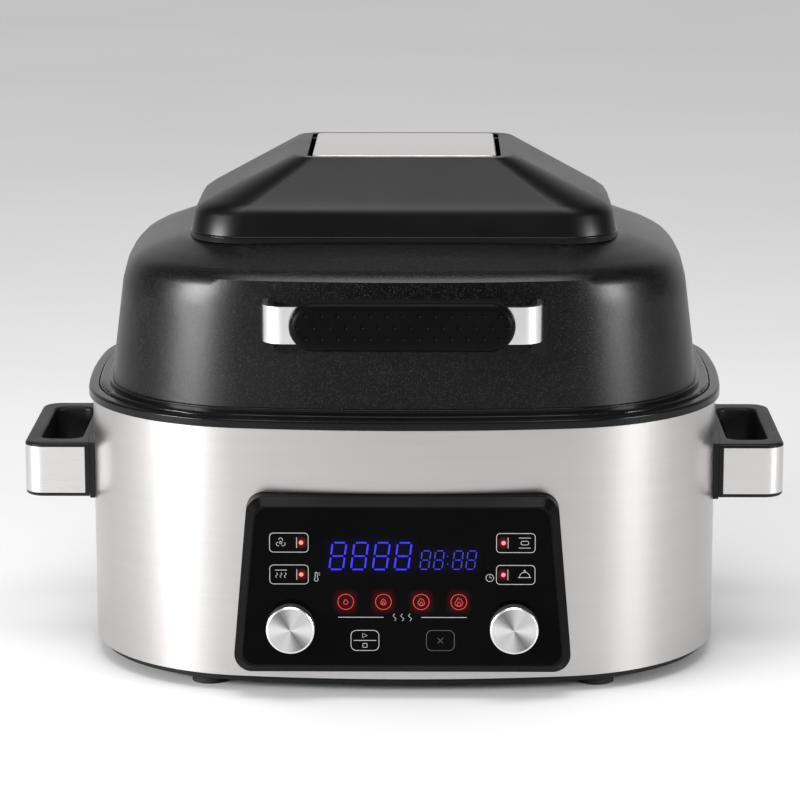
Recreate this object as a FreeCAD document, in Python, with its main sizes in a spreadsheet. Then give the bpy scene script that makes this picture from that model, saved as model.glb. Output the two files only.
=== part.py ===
import FreeCAD, Part
import Sketcher
import math
import os
import re

# Air fryer grill with a hinged lid.
# Lengths are millimetres. The front is -Y, up is +Z and the origin is on the table under the middle.

SIZES = {
    # Plan outline of the steel body: front and side bows joined by corner arcs
    "body_half_width": 191.5,
    "body_half_depth": 155.5,
    "front_bow_radius": 674,
    "side_bow_radius": 629,
    "corner_radius": 108.5,
    # Shared clearances
    "seat_gap": 0.3,
    "curve_gap": 0.2,
    "running_gap": 0.05,
    "thread_gap": 0.1,
    "cut_overrun": 5,
    # Feet and base pan
    "foot_height": 6,
    "foot_radius": 11,
    "foot_stem_radius": 3.5,
    "foot_place_x": 115,
    "foot_place_y": 122,
    "pan_floor": 3,
    "pan_inset": 4,
    "pan_wall": 2.5,
    "pan_lip_height": 20,
    "pan_vent_length": 46,
    "pan_vent_width": 4,
    "pan_vent_pitch": 11,
    "pan_screw_place_x": 92,
    "pan_screw_place_y": 84,
    # Steel band
    "steel_bottom": 10,
    "steel_top": 160,
    "steel_wall": 0.8,
    "rear_vent_length": 22,
    "rear_vent_width": 4,
    "rear_vent_pitch": 9,
    "rear_vent_place_x": 92,
    "rear_vent_level": 40,
    # Black top rim with the sunk deck that carries pot and lid
    "rim_overhang": 2.5,
    "rim_height": 5.4,
    "rim_land": 6,
    "rim_round": 1.6,
    "rim_deck": 4,
    "rim_deck_sink": 1,
    "rim_lip": 3,
    "rim_lip_drop": 8,
    "rim_opening_inset": 40,
    # Inner liner below the rim
    "liner_inset": 42.7,
    "liner_flange_inset": 36,
    "liner_wall": 0.8,
    "liner_bottom": 36,
    # Cooking pot
    "pot_flange_inset": 28,
    "pot_top_inset": 45,
    "pot_foot_inset": 49,
    "pot_wall": 2.2,
    "pot_floor": 2.5,
    "pot_flange": 2,
    "pot_bottom": 36.8,
    "pot_round": 9,
    # Grill plate in the pot
    "grill_inset": 55,
    "grill_foot_height": 7,
    "grill_foot_radius": 6,
    "grill_foot_place_x": 90,
    "grill_foot_place_y": 60,
    "grill_plate": 4,
    "grill_rib_height": 5,
    "grill_rib_width": 5,
    "grill_rib_pitch": 17,
    "grill_rib_length": 156,
    "grill_slot_width": 5,
    "grill_slot_length": 52,
    "grill_slot_place_y": 38,
    # Side handles
    "side_handle_reach": 232,
    "side_handle_half_depth": 59,
    "side_handle_bottom": 96.3,
    "side_handle_height": 33.6,
    "side_handle_round": 12,
    "side_handle_edge": 2.2,
    "side_hole_start": 198,
    "side_hole_wall": 9,
    "side_hole_half_depth": 45,
    "side_hole_round": 8,
    "side_flange": 3,
    "side_flange_margin": 0.5,
    "side_trim": 1,
    "side_trim_margin": 2.5,
    "side_trim_start": 194.7,
    "side_screw_place_y": 52,
    "side_screw_length": 22,
    # Control panel, a flat trapezoid proud of the bowed front
    "panel_bottom": 16.4,
    "panel_height": 105.3,
    "panel_foot_half_width": 98.4,
    "panel_head_half_width": 91,
    "panel_round": 10.5,
    "panel_front": 166,
    "panel_depth": 22,
    "panel_chamfer": 4.6,
    "panel_frame": 12,
    "panel_ledge": 5.6,
    "glass_sink": 0.4,
    "glass_thickness": 2.5,
    "board_stand": 4,
    "board_thickness": 1.6,
    "board_post_radius": 3.5,
    "display_half_width": 47,
    "display_height": 24,
    "display_level": 88,
    # Knobs and encoders
    "knob_place_x": 65,
    "knob_level": 45,
    "knob_radius": 14,
    "knob_height": 8.4,
    "knob_stand": 0.9,
    "knob_wall": 1.2,
    "knob_face": 1.4,
    "knob_edge": 0.7,
    "knob_shaft_radius": 3,
    "encoder_half_width": 7,
    "encoder_depth": 8,
    "encoder_bush_radius": 5,
    "encoder_bush_length": 8,
    "glass_hole_radius": 4.2,
    # Power board in the pan
    "power_half_width": 50,
    "power_half_depth": 34,
    "power_stand": 5,
    "power_stand_radius": 3,
    "transformer_half_width": 17,
    "transformer_half_depth": 14,
    "transformer_height": 17,
    "capacitor_radius": 6,
    "capacitor_height": 15,
    "relay_half_width": 8,
    "relay_half_depth": 10,
    "relay_height": 15,
    # Cord gland without its cord
    "gland_place_x": 40,
    "gland_lift": 5,
    "gland_flange_radius": 12,
    "gland_flange": 4,
    "gland_neck_radius": 8,
    "gland_bore_radius": 3.8,
    "gland_nut_radius": 11,
    "gland_nut": 5,
    # Hinge between the body and the lid
    "overall_half_depth": 184,
    "hinge_axis_y": 172,
    "hinge_axis_level": 174,
    "hinge_pin_radius": 3,
    "hinge_pin_head_radius": 5,
    "hinge_pin_head": 1.5,
    "hinge_ear_radius": 9,
    "hinge_ear_start": 28,
    "hinge_ear": 8,
    "hinge_arm": 15.4,
    "hinge_arm_radius": 8,
    "hinge_arm_top": 216,
    "hinge_arm_reach": 142,
    "hinge_arm_rise": 10,
    "hinge_block_half_width": 62,
    "hinge_block_bottom": 112,
    "hinge_block_top": 157,
    "hinge_cover_wall": 2.6,
    "hinge_screw_place_x": 20,
    "hinge_screw_level": 134,
    # Lid trim ring and gasket
    "lid_gap": 0.7,
    "lid_trim_rise": 1.6,
    "lid_trim_land": 6,
    "lid_trim_step": 2.5,
    "lid_trim_inset": 26,
    "gasket_width": 6.6,
    # Lid shell: upright oval wall, a bend, then a shoulder up to the hood
    "lid_shell_set": 1.8,
    "lid_wall": 2.2,
    "lid_top_level": 258.4,
    "lid_top_margin": 9,
    "lid_opening_half_width": 62,
    "lid_opening_half_depth": 56,
    "lid_opening_round": 26,
    # Lid liner
    "lid_liner_foot_inset": 33.5,
    "lid_liner_top_inset": 46,
    "lid_liner_top": 236,
    "lid_liner_wall": 0.8,
    "lid_liner_hole_radius": 8,
    # Hood over the motor
    "hood_half_width": 127.2,
    "hood_half_depth": 90,
    "hood_front_round": 32,
    "hood_rear_round": 78,
    "hood_base_height": 4,
    "hood_base_lip": 1,
    "hood_base_wall": 12,
    "hood_flare": 2.5,
    "hood_brow_level": 276.9,
    "hood_brow_round": 3,
    "hood_plateau_half_width": 67,
    "hood_plateau_half_depth": 57,
    "hood_plateau_round": 14,
    "hood_top_level": 305,
    "hood_wall": 2.6,
    "hood_top_wall": 6,
    "hood_boss_radius": 6,
    "hood_boss_height": 12,
    "hood_boss_place_x": 116.8,
    "hood_boss_place_y": 24,
    "top_plate_half_width": 55,
    "top_plate_half_depth": 51,
    "top_plate_round": 4,
    "top_plate": 2.2,
    "top_plate_proud": 0.4,
    "top_plate_gap": 0.6,
    "intake_width": 2.6,
    "intake_half_length": 40,
    "exhaust_slot_width": 3.4,
    "exhaust_slot_height": 7,
    "exhaust_slot_pitch": 9,
    "exhaust_level": 269.4,
    # Motor, shaft and fans
    "motor_radius": 30,
    "motor_height": 34,
    "motor_stack_half_width": 33,
    "motor_stack_height": 18,
    "motor_stack_round": 5,
    "bracket_plate": 2,
    "bracket_stand": 17,
    "bracket_half_width": 48,
    "bracket_half_depth": 20,
    "bracket_round": 4,
    "bracket_leg": 4,
    "bracket_hole_radius": 11,
    "shaft_radius": 3,
    "shaft_bottom": 206,
    "fan_radius": 56,
    "fan_level": 226,
    "fan_disc": 1.5,
    "fan_blade_height": 12,
    "fan_blade_start": 18,
    "fan_blade_half_width": 0.7,
    "fan_hub_radius": 9,
    "fan_hub_height": 6,
    "cooling_fan_radius": 36,
    "cooling_fan_level": 240,
    "cooling_fan_height": 8,
    "cooling_hub_radius": 8,
    "fan_nut_radius": 6,
    "fan_nut_height": 5,
    # Heating element, its clips, guard and sensor
    "element_ring_radius": 66,
    "element_tube_radius": 3.2,
    "element_level": 214,
    "element_end_height": 14,
    "clip_radius": 2.5,
    "guard_radius": 82,
    "guard_level": 196,
    "guard_plate": 1.2,
    "guard_round": 6,
    "guard_post_radius": 2.5,
    "guard_post_ring": 76,
    "guard_slot_half_width": 2.2,
    "guard_slot_start": 14,
    "guard_slot_middle": 38,
    "guard_slot_web": 4,
    "guard_slot_end": 70,
    "sensor_radius": 2.5,
    "sensor_flange_radius": 6,
    "sensor_flange": 2,
    "sensor_place_x": 100,
    "sensor_bottom": 206,
    # Lid handle: flat strap with a dimpled grip, on two mounts
    "strap_half_width": 80.3,
    "strap_height": 21.4,
    "strap_thickness": 3,
    "strap_round": 13,
    "handle_level": 225.5,
    "strap_set_back": 7,
    "grip_half_length": 64.5,
    "grip_height": 29,
    "grip_depth": 18,
    "grip_edge": 5,
    "grip_slot_gap": 0.1,
    "mount_width": 9,
    "mount_bottom": 204,
    "mount_height": 28,
    "mount_front": 149,
    "mount_bolt_level": 216.1,
    # Fasteners
    "screw_radius": 2,
    "screw_head_radius": 4,
    "screw_head": 2.4,
}

# Counts and shares
PAN_VENTS = 9
REAR_VENTS = 7
GRILL_RIBS = 13
EXHAUST_SLOTS = 15
FAN_BLADES = 10
COOLING_BLADES = 7
GUARD_INNER_SLOTS = 12
GUARD_OUTER_SLOTS = 28
GUARD_POSTS = 4
ELEMENT_GAP_DEGREES = 24
CLIP_DEGREES = (80, 170, 260)
SHAFT_MOTOR_SHARE = 0.8
POT_FOOT_SHARES = ((0, 1), (0.29, 0.29), (1, 0))
# Lid wall from foot to flat top: shares of its rise, of its draw-in at the sides and of that in front
LID_SHARES = ((0, 0, 0), (0.667, 0.171, 0.133), (0.774, 0.231, 0.154), (0.827, 0.289, 0.173),
              (0.865, 0.367, 0.242), (0.89, 0.445, 0.368), (0.928, 0.594, 0.579), (1, 1, 1))
LID_INNER_SHARES = (LID_SHARES[0], LID_SHARES[2], LID_SHARES[4], LID_SHARES[7])

doc = FreeCAD.newDocument("air_fryer_grill")
sheet = doc.addObject("Spreadsheet::Sheet", "dims")
for row, (size_name, size) in enumerate(SIZES.items(), start=1):
    sheet.set("A%d" % row, size_name)
    sheet.set("B%d" % row, str(size))
    sheet.setAlias("B%d" % row, size_name)
doc.recompute()

# Shared sums of the driving dimensions, each an expression over the sheet
NAMES = {
    "pan_bottom": "foot_height",
    "pan_floor_top": "(foot_height + pan_floor)",
    "pan_lip_inset": "(steel_wall + seat_gap)",
    "rim_top": "(steel_top + rim_height)",
    "rim_deck_top": "(steel_top - rim_deck_sink)",
    "rim_deck_bottom": "(rim_deck_top - rim_deck)",
    "rim_lip_bottom": "(steel_top - rim_lip_drop)",
    "rim_land_inset": "(rim_land - rim_overhang)",
    "lid_trim_outer_inset": "(rim_land_inset + lid_gap)",
    "lid_trim_bottom": "(rim_deck_top + seat_gap)",
    "lid_trim_top": "(rim_top + lid_trim_rise)",
    "lid_step_top": "(lid_trim_top + lid_trim_step)",
    "lid_step_inset": "(lid_trim_outer_inset + lid_trim_land)",
    "lid_shell_inset": "(lid_step_inset + lid_shell_set)",
    "lid_step_inner_inset": "(lid_shell_inset + lid_shell_set + lid_wall)",
    "lid_rise": "(lid_top_level - lid_step_top)",
    "lid_side_draw": "(body_half_width - lid_shell_inset - hood_half_width - lid_top_margin)",
    "lid_front_draw": "(body_half_depth - lid_shell_inset - hood_half_depth - lid_top_margin)",
    "lid_lean": "(lid_front_draw * %s / lid_rise / %s)" % (LID_SHARES[1][2], LID_SHARES[1][0]),
    "pot_top": "(rim_deck_top + pot_flange)",
    "pot_floor_top": "(pot_bottom + pot_floor)",
    "grill_bottom": "(pot_floor_top + grill_foot_height)",
    "grill_top": "(grill_bottom + grill_plate)",
    "gland_level": "(steel_bottom + pan_lip_height + gland_nut_radius + gland_lift)",
    "gland_sag": "((gland_place_x + gland_flange_radius) ^ 2 / front_bow_radius / 2)",
    "side_screw_sag": "((side_screw_place_y + screw_head_radius) ^ 2 / side_bow_radius / 2)",
    "hinge_screw_sag": "((hinge_screw_place_x + screw_head_radius) ^ 2 / front_bow_radius / 2)",
    "side_handle_top": "(side_handle_bottom + side_handle_height)",
    "side_handle_middle": "(side_handle_bottom + side_handle_height / 2)",
    "panel_top": "(panel_bottom + panel_height)",
    "panel_back": "(panel_front - panel_depth)",
    "glass_front": "(panel_front - glass_sink)",
    "glass_back": "(glass_front - glass_thickness)",
    "board_front": "(panel_back - board_stand)",
    "knob_back": "(glass_front + knob_stand)",
    "knob_front": "(knob_back + knob_height)",
    "hood_bottom": "(lid_top_level + hood_base_height)",
    "hood_seat_level": "(hood_top_level + top_plate_proud - top_plate)",
    "hood_foot_part": "(hood_brow_round / (hood_brow_level - hood_bottom))",
    "hood_top_part": "(hood_brow_round / (hood_top_level - hood_brow_level))",
    "motor_bottom": "(lid_liner_top + bracket_stand + bracket_plate)",
    "strap_front": "(overall_half_depth - strap_set_back)",
    "strap_bottom": "(handle_level - strap_height / 2)",
    "grip_back": "(overall_half_depth - grip_depth)",
    "bolt_place": "(strap_half_width - strap_thickness / 2)",
    "bolt_wall_inset": "(lid_shell_inset + lid_lean * (mount_bolt_level - lid_step_top) + lid_wall)",
    "bolt_bow": "(front_bow_radius - bolt_wall_inset)",
    "bolt_wall": "(sqrt(bolt_bow ^ 2 - bolt_place ^ 2) - front_bow_radius + body_half_depth)",
    "bolt_tip": "(mount_front - strap_thickness - seat_gap)",
    "bolt_head_seat": "(bolt_wall - screw_head_radius / 4)",
    "hinge_arm_start": "(hinge_ear_start + hinge_ear + seat_gap)",
    "hinge_outer_ear_start": "(hinge_arm_start + hinge_arm + seat_gap)",
    "hinge_pin_length": "(2 * hinge_ear + 2 * seat_gap + hinge_arm)",
    "hinge_block_back": "(overall_half_depth - hinge_cover_wall - seat_gap)",
    "screw_hole": "(screw_radius + thread_gap)",
    "shaft_top": "(motor_bottom + motor_height * %s)" % SHAFT_MOTOR_SHARE,
}


def bound(text):
    """An expression in plain size names, written with the sheet's name before each alias."""
    def spell(match):
        word = match.group()
        if word in NAMES:
            return bound(NAMES[word])
        return "dims." + word if word in SIZES else word
    return re.sub(r"[a-z_]+", spell, text)


def value(text):
    """The number that an expression in plain size names stands for."""
    number = sheet.evalExpression(bound(text))
    return float(getattr(number, "Value", number))


def body(label):
    """An empty body that gives one sub-part its name."""
    made = doc.addObject("PartDesign::Body", label)
    made.Label = label
    made.AllowCompound = True
    return made


def sketch_on(owner, plane, offset):
    """A sketch on one of the body's own planes: XY faces up, XZ faces front, YZ faces right."""
    drawn = owner.newObject("Sketcher::SketchObject", owner.Name + "_sketch")
    support = [part for part in owner.Origin.OriginFeatures if part.Role == plane + "_Plane"][0]
    drawn.AttachmentSupport = [(support, "")]
    drawn.MapMode = "FlatFace"
    drawn.setExpression("AttachmentOffset.Base.z", bound(offset))
    return drawn


def drive(drawn, kind, places, text):
    """A dimension of a sketch bound to an expression."""
    index = drawn.addConstraint(Sketcher.Constraint(kind, *places, value(text)))
    title = "size_%d" % index
    drawn.renameConstraint(index, title)
    drawn.setExpression("Constraints." + title, bound(text))


def place(drawn, geometry, point, x_text, y_text):
    """Both coordinates of one point of a sketch bound to expressions."""
    drive(drawn, "DistanceX", (-1, 1, geometry, point), x_text)
    drive(drawn, "DistanceY", (-1, 1, geometry, point), y_text)


def arc_between(centre, radius, start, end):
    """A counterclockwise arc from one point to another."""
    first = math.atan2(start[1] - centre[1], start[0] - centre[0])
    last = math.atan2(end[1] - centre[1], end[0] - centre[0])
    circle = Part.Circle(FreeCAD.Vector(centre[0], centre[1], 0), FreeCAD.Vector(0, 0, 1), radius)
    return Part.ArcOfCircle(circle, first, last)


def oval(owner, level, half_width, half_depth, inset):
    """The plan outline at a height: bows in front, behind and at both sides, joined by corner arcs.

    The two half sizes and the arcs are all drawn in by the inset.
    """
    drawn = sketch_on(owner, "XY", level)
    half_x = "(%s - (%s))" % (half_width, inset)
    half_y = "(%s - (%s))" % (half_depth, inset)
    bow = "(front_bow_radius - (%s))" % inset
    side = "(side_bow_radius - (%s))" % inset
    turn = "(corner_radius - (%s))" % inset
    bow_shift = "(%s - %s)" % (bow, half_y)
    side_shift = "(%s - %s)" % (side, half_x)
    bow_radius, side_radius, turn_radius = value(bow), value(side), value(turn)
    low = (0.0, -value(bow_shift))
    left = (-value(side_shift), 0.0)
    reach_low, reach_left = bow_radius - turn_radius, side_radius - turn_radius
    span = math.dist(low, left)
    along = (reach_low ** 2 - reach_left ** 2 + span ** 2) / (2 * span)
    across = math.sqrt(reach_low ** 2 - along ** 2)
    step = ((left[0] - low[0]) / span, (left[1] - low[1]) / span)
    corner = (low[0] + along * step[0] + across * step[1], low[1] + along * step[1] - across * step[0])
    top_share = turn_radius / reach_low
    side_share = turn_radius / reach_left
    on_bow = (corner[0] + (corner[0] - low[0]) * top_share, corner[1] + (corner[1] - low[1]) * top_share)
    on_side = (corner[0] + (corner[0] - left[0]) * side_share, corner[1] + (corner[1] - left[1]) * side_share)
    arcs = []
    for x_sign, y_sign in ((1, 1), (-1, 1), (-1, -1), (1, -1)):
        flip = x_sign * y_sign < 0
        first, last = (on_bow, on_side) if flip else (on_side, on_bow)
        arcs.append(((x_sign * corner[0], y_sign * corner[1]), turn_radius,
                     (x_sign * first[0], y_sign * first[1]), (x_sign * last[0], y_sign * last[1])))
        bows = {(1, 1): ((0.0, low[1]), bow_radius), (-1, 1): ((-left[0], 0.0), side_radius),
                (-1, -1): ((0.0, -low[1]), bow_radius), (1, -1): ((left[0], 0.0), side_radius)}
        arcs.append(bows[(x_sign, y_sign)] + (None, None))
    for index, (centre, radius, start, end) in enumerate(arcs):
        if start is None:
            start = arcs[index - 1][3]
            end = arcs[(index + 1) % len(arcs)][2]
        drawn.addGeometry(arc_between(centre, radius, start, end), False)
    for index in range(len(arcs)):
        drawn.addConstraint(Sketcher.Constraint("Tangent", index, 2, (index + 1) % len(arcs), 1))
    for index, radius in enumerate((turn, bow, turn, side) * 2):
        drive(drawn, "Radius", (index,), radius)
    for index, shift in ((1, "0 - " + bow_shift), (5, bow_shift)):
        drawn.addConstraint(Sketcher.Constraint("PointOnObject", index, 3, -2))
        drive(drawn, "DistanceY", (-1, 1, index, 3), shift)
    for index, shift in ((3, side_shift), (7, "0 - " + side_shift)):
        drawn.addConstraint(Sketcher.Constraint("PointOnObject", index, 3, -1))
        drive(drawn, "DistanceX", (-1, 1, index, 3), shift)
    return drawn


def body_oval(owner, level, inset):
    """The body's outline drawn in by an inset."""
    return oval(owner, level, "body_half_width", "body_half_depth", inset)


def draw_hull(drawn, circles):
    """Tight band around circles given counterclockwise as x, y and radius expressions."""
    spots = [(value(x), value(y), value(r)) for x, y, r in circles]
    touches = []
    for index, (x, y, r) in enumerate(spots):
        next_x, next_y, next_r = spots[(index + 1) % len(spots)]
        span = math.hypot(next_x - x, next_y - y)
        along = ((next_x - x) / span, (next_y - y) / span)
        lean = (r - next_r) / span
        out = math.sqrt(1 - lean ** 2)
        normal = (along[0] * lean + along[1] * out, along[1] * lean - along[0] * out)
        touches.append(((x + r * normal[0], y + r * normal[1]),
                        (next_x + next_r * normal[0], next_y + next_r * normal[1])))
    first = drawn.GeometryCount
    count = len(spots)
    for index, (x, y, r) in enumerate(spots):
        drawn.addGeometry(arc_between((x, y), r, touches[index - 1][1], touches[index][0]), False)
    for start, end in touches:
        drawn.addGeometry(Part.LineSegment(FreeCAD.Vector(*start, 0), FreeCAD.Vector(*end, 0)), False)
    for index in range(count):
        arc, line = first + index, first + count + index
        drawn.addConstraint(Sketcher.Constraint("Tangent", arc, 2, line, 1))
        drawn.addConstraint(Sketcher.Constraint("Tangent", line, 2, first + (index + 1) % count, 1))
    for index, (x, y, r) in enumerate(circles):
        place(drawn, first + index, 3, x, y)
        drive(drawn, "Radius", (first + index,), r)


def hull(owner, plane, offset, *bands):
    """A sketch of one or more bands around circles."""
    drawn = sketch_on(owner, plane, offset)
    for circles in bands:
        draw_hull(drawn, circles)
    return drawn


def disc(owner, plane, offset, circles):
    """A sketch of whole circles given as x, y and radius expressions."""
    drawn = sketch_on(owner, plane, offset)
    for x, y, r in circles:
        centre = FreeCAD.Vector(value(x), value(y), 0)
        index = drawn.addGeometry(Part.Circle(centre, FreeCAD.Vector(0, 0, 1), value(r)), False)
        place(drawn, index, 3, x, y)
        drive(drawn, "Radius", (index,), r)
    return drawn


def block(owner, plane, offset, *boxes):
    """A sketch of sharp rectangles, each given by the expressions of two opposite corners."""
    drawn = sketch_on(owner, plane, offset)
    for x_low, y_low, x_high, y_high in boxes:
        corners = ((x_low, y_low), (x_high, y_low), (x_high, y_high), (x_low, y_high))
        points = [FreeCAD.Vector(value(x), value(y), 0) for x, y in corners]
        first = drawn.GeometryCount
        for index in range(4):
            drawn.addGeometry(Part.LineSegment(points[index], points[(index + 1) % 4]), False)
        for index in range(4):
            follower = first + (index + 1) % 4
            drawn.addConstraint(Sketcher.Constraint("Coincident", first + index, 2, follower, 1))
            place(drawn, first + index, 1, *corners[index])
    return drawn


def round_box(x_low, y_low, x_high, y_high, radius):
    """The four corner circles of a rounded rectangle, from expressions of its sides."""
    left, right = "(%s + %s)" % (x_low, radius), "(%s - %s)" % (x_high, radius)
    low, high = "(%s + %s)" % (y_low, radius), "(%s - %s)" % (y_high, radius)
    return ((left, low, radius), (right, low, radius), (right, high, radius), (left, high, radius))


def centred_box(half_width, half_depth, radius):
    """The corner circles of a rounded rectangle around the origin."""
    return round_box("0 - " + half_width, "0 - " + half_depth, half_width, half_depth, radius)


def ring_place(radius, degrees):
    """A place on a circle about the origin, as x and y expressions."""
    turn = math.radians(degrees)
    return "%s * %.9f" % (radius, math.cos(turn)), "%s * %.9f" % (radius, math.sin(turn))


def ring_places(count, radius, start=0):
    """Places evenly spaced on a circle, as x and y expressions."""
    return [ring_place(radius, start + index * 360 / count) for index in range(count)]


def four_places(x_text, y_text):
    """The four places mirrored in both middle planes."""
    return [(a + x_text, b + y_text) for a in ("", "0 - ") for b in ("", "0 - ")]


def row_start(count, pitch):
    """Place of the first copy of an evenly pitched row that is centred on zero."""
    return "(0 - %s * %.1f)" % (pitch, (count - 1) / 2)


def pad(owner, drawn, length, back=False):
    """Material raised from a sketch, along its facing or back against it."""
    feature = owner.newObject("PartDesign::Pad", owner.Name + "_pad")
    feature.Profile = drawn
    feature.Reversed = back
    feature.setExpression("Length", bound(length))
    return feature


def cut(owner, drawn, length, forward=False):
    """Material cut from a sketch, back into the body or forward along the sketch's facing."""
    feature = owner.newObject("PartDesign::Pocket", owner.Name + "_cut")
    feature.Profile = drawn
    feature.Reversed = forward
    feature.setExpression("Length", bound(length))
    return feature


def own_axis(owner, name):
    """One of the body's own axes."""
    return [part for part in owner.Origin.OriginFeatures if part.Role == name + "_Axis"][0]


def repeat_row(owner, feature, axis, count, pitch):
    """Copies of a feature in a row along one of the body's axes."""
    pattern = owner.newObject("PartDesign::LinearPattern", owner.Name + "_row")
    pattern.Originals = [feature]
    pattern.Direction = (own_axis(owner, axis), [""])
    pattern.Occurrences = count
    pattern.setExpression("Length", bound("%s * %d" % (pitch, count - 1)))
    owner.Tip = pattern


def repeat_round(owner, feature, count):
    """Copies of a feature evenly spaced about the upright axis."""
    pattern = owner.newObject("PartDesign::PolarPattern", owner.Name + "_turns")
    pattern.Originals = [feature]
    pattern.Axis = (own_axis(owner, "Z"), [""])
    pattern.Angle = 360
    pattern.Occurrences = count
    owner.Tip = pattern


def loft(owner, sections, hollow=False):
    """A straight-sided loft through sketches, added or cut away."""
    kind = "PartDesign::SubtractiveLoft" if hollow else "PartDesign::AdditiveLoft"
    feature = owner.newObject(kind, owner.Name + "_loft")
    feature.Profile = sections[0]
    feature.Sections = sections[1:]
    feature.Ruled = True
    return feature


def edges_where(owner, test):
    """Names of the body's edges that pass a test on their bounding box."""
    doc.recompute()
    found = []
    for index, edge in enumerate(owner.Tip.Shape.Edges, start=1):
        if test(edge.BoundBox):
            found.append("Edge%d" % index)
    return found


def level_edges(owner, level):
    """Edges that lie flat at a height."""
    height = value(level)
    near = value("thread_gap")
    return edges_where(owner, lambda box: abs(box.ZMin - height) + abs(box.ZMax - height) < near)


def facing_edges(owner, front):
    """Edges that lie flat in a plane facing the front, at a distance before the origin."""
    depth = -value(front)
    near = value("thread_gap")
    return edges_where(owner, lambda box: abs(box.YMin - depth) + abs(box.YMax - depth) < near)


def soften(owner, edges, radius):
    """Rounded edges."""
    base = owner.Tip
    feature = owner.newObject("PartDesign::Fillet", owner.Name + "_round")
    feature.Base = (base, edges)
    feature.setExpression("Radius", bound(radius))
    return feature


def bevel(owner, edges, width):
    """Bevelled edges."""
    base = owner.Tip
    feature = owner.newObject("PartDesign::Chamfer", owner.Name + "_bevel")
    feature.Base = (base, edges)
    feature.setExpression("Size", bound(width))
    return feature


def shift(owner, axis, text):
    """The body's placement along one axis, bound to an expression."""
    owner.setExpression("Placement.Base." + axis, bound(text))


def half_turn(owner):
    """The body turned to the other side about the upright axis."""
    turn = FreeCAD.Rotation(FreeCAD.Vector(0, 0, 1), 180)
    owner.Placement = FreeCAD.Placement(FreeCAD.Vector(0, 0, 0), turn)


# Base


def rubber_feet():
    made = body("rubber_feet")
    places = four_places("foot_place_x", "foot_place_y")
    pad(made, disc(made, "XY", "0", [(x, y, "foot_radius") for x, y in places]), "foot_height")
    pad(made, disc(made, "XY", "foot_height", [(x, y, "foot_stem_radius") for x, y in places]), "pan_floor")


def base_pan():
    made = body("base_pan")
    pad(made, body_oval(made, "pan_bottom", "pan_inset"), "steel_bottom - foot_height")
    pad(made, body_oval(made, "steel_bottom", "pan_lip_inset"), "pan_lip_height")
    hollow = body_oval(made, "steel_bottom + pan_lip_height", "pan_inset + pan_wall")
    cut(made, hollow, "steel_bottom + pan_lip_height - pan_floor_top")
    feet = [(x, y, "foot_stem_radius + thread_gap") for x, y in four_places("foot_place_x", "foot_place_y")]
    screws = [(x, y, "screw_hole") for x, y in four_places("pan_screw_place_x", "pan_screw_place_y")]
    cut(made, disc(made, "XY", "pan_floor_top", feet + screws), "pan_floor")
    y = row_start(PAN_VENTS, "pan_vent_pitch")
    slot = (("0 - pan_vent_length / 2", y, "pan_vent_width / 2"),
            ("pan_vent_length / 2", y, "pan_vent_width / 2"))
    vent = cut(made, hull(made, "XY", "pan_floor_top", slot), "pan_floor")
    repeat_row(made, vent, "Y", PAN_VENTS, "pan_vent_pitch")
    notch = hull(made, "XZ", "panel_front", panel_outline("0 - seat_gap"))
    cut(made, notch, "panel_depth + 2 * board_stand")


def pan_screws():
    made = body("pan_screws")
    places = four_places("pan_screw_place_x", "pan_screw_place_y")
    heads = disc(made, "XY", "pan_bottom", [(x, y, "screw_head_radius") for x, y in places])
    pad(made, heads, "screw_head", back=True)
    shanks = disc(made, "XY", "pan_bottom", [(x, y, "screw_radius") for x, y in places])
    pad(made, shanks, "liner_bottom - pan_bottom - seat_gap")


def steel_band():
    made = body("steel_band")
    height = "steel_top - steel_bottom"
    pad(made, body_oval(made, "steel_bottom", "0"), height)
    cut(made, body_oval(made, "steel_top", "steel_wall"), height)
    window = hull(made, "XZ", "panel_front", panel_outline("0 - seat_gap"))
    cut(made, window, "panel_front")
    gland = disc(made, "XZ", "0", [("gland_place_x", "gland_level", "gland_neck_radius + thread_gap")])
    cut(made, gland, "overall_half_depth")
    x = row_start(REAR_VENTS, "rear_vent_pitch") + " - rear_vent_place_x"
    slot = ((x, "rear_vent_level - rear_vent_length / 2", "rear_vent_width / 2"),
            (x, "rear_vent_level + rear_vent_length / 2", "rear_vent_width / 2"))
    vent = cut(made, hull(made, "XZ", "0", slot), "overall_half_depth")
    repeat_row(made, vent, "X", REAR_VENTS, "rear_vent_pitch")
    hinge = [(a + "hinge_screw_place_x", "hinge_screw_level", "screw_hole") for a in ("", "0 - ")]
    cut(made, disc(made, "XZ", "0", hinge), "overall_half_depth")
    handle = [(b + "side_screw_place_y", "side_handle_middle", "screw_hole") for b in ("", "0 - ")]
    side_holes = disc(made, "YZ", "side_handle_reach", handle)
    cut(made, side_holes, "2 * side_handle_reach")


def top_rim():
    made = body("top_rim")
    pad(made, body_oval(made, "steel_top", "0 - rim_overhang"), "rim_height")
    soften(made, level_edges(made, "rim_top"), "rim_round")
    pad(made, body_oval(made, "rim_lip_bottom", "pan_lip_inset"), "rim_lip_drop")
    cut(made, body_oval(made, "rim_top", "rim_land_inset"), "rim_top - rim_deck_top")
    cut(made, body_oval(made, "rim_top", "rim_opening_inset"), "rim_top - rim_lip_bottom")
    under = body_oval(made, "rim_lip_bottom", "pan_lip_inset + rim_lip")
    cut(made, under, "rim_deck_bottom - rim_lip_bottom", forward=True)


def inner_liner():
    made = body("inner_liner")
    height = "rim_deck_bottom - liner_bottom"
    pad(made, body_oval(made, "liner_bottom", "liner_inset"), height)
    pad(made, body_oval(made, "rim_deck_bottom", "liner_flange_inset"), "liner_wall", back=True)
    cut(made, body_oval(made, "rim_deck_bottom", "liner_inset + liner_wall"), height + " - liner_wall")


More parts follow.
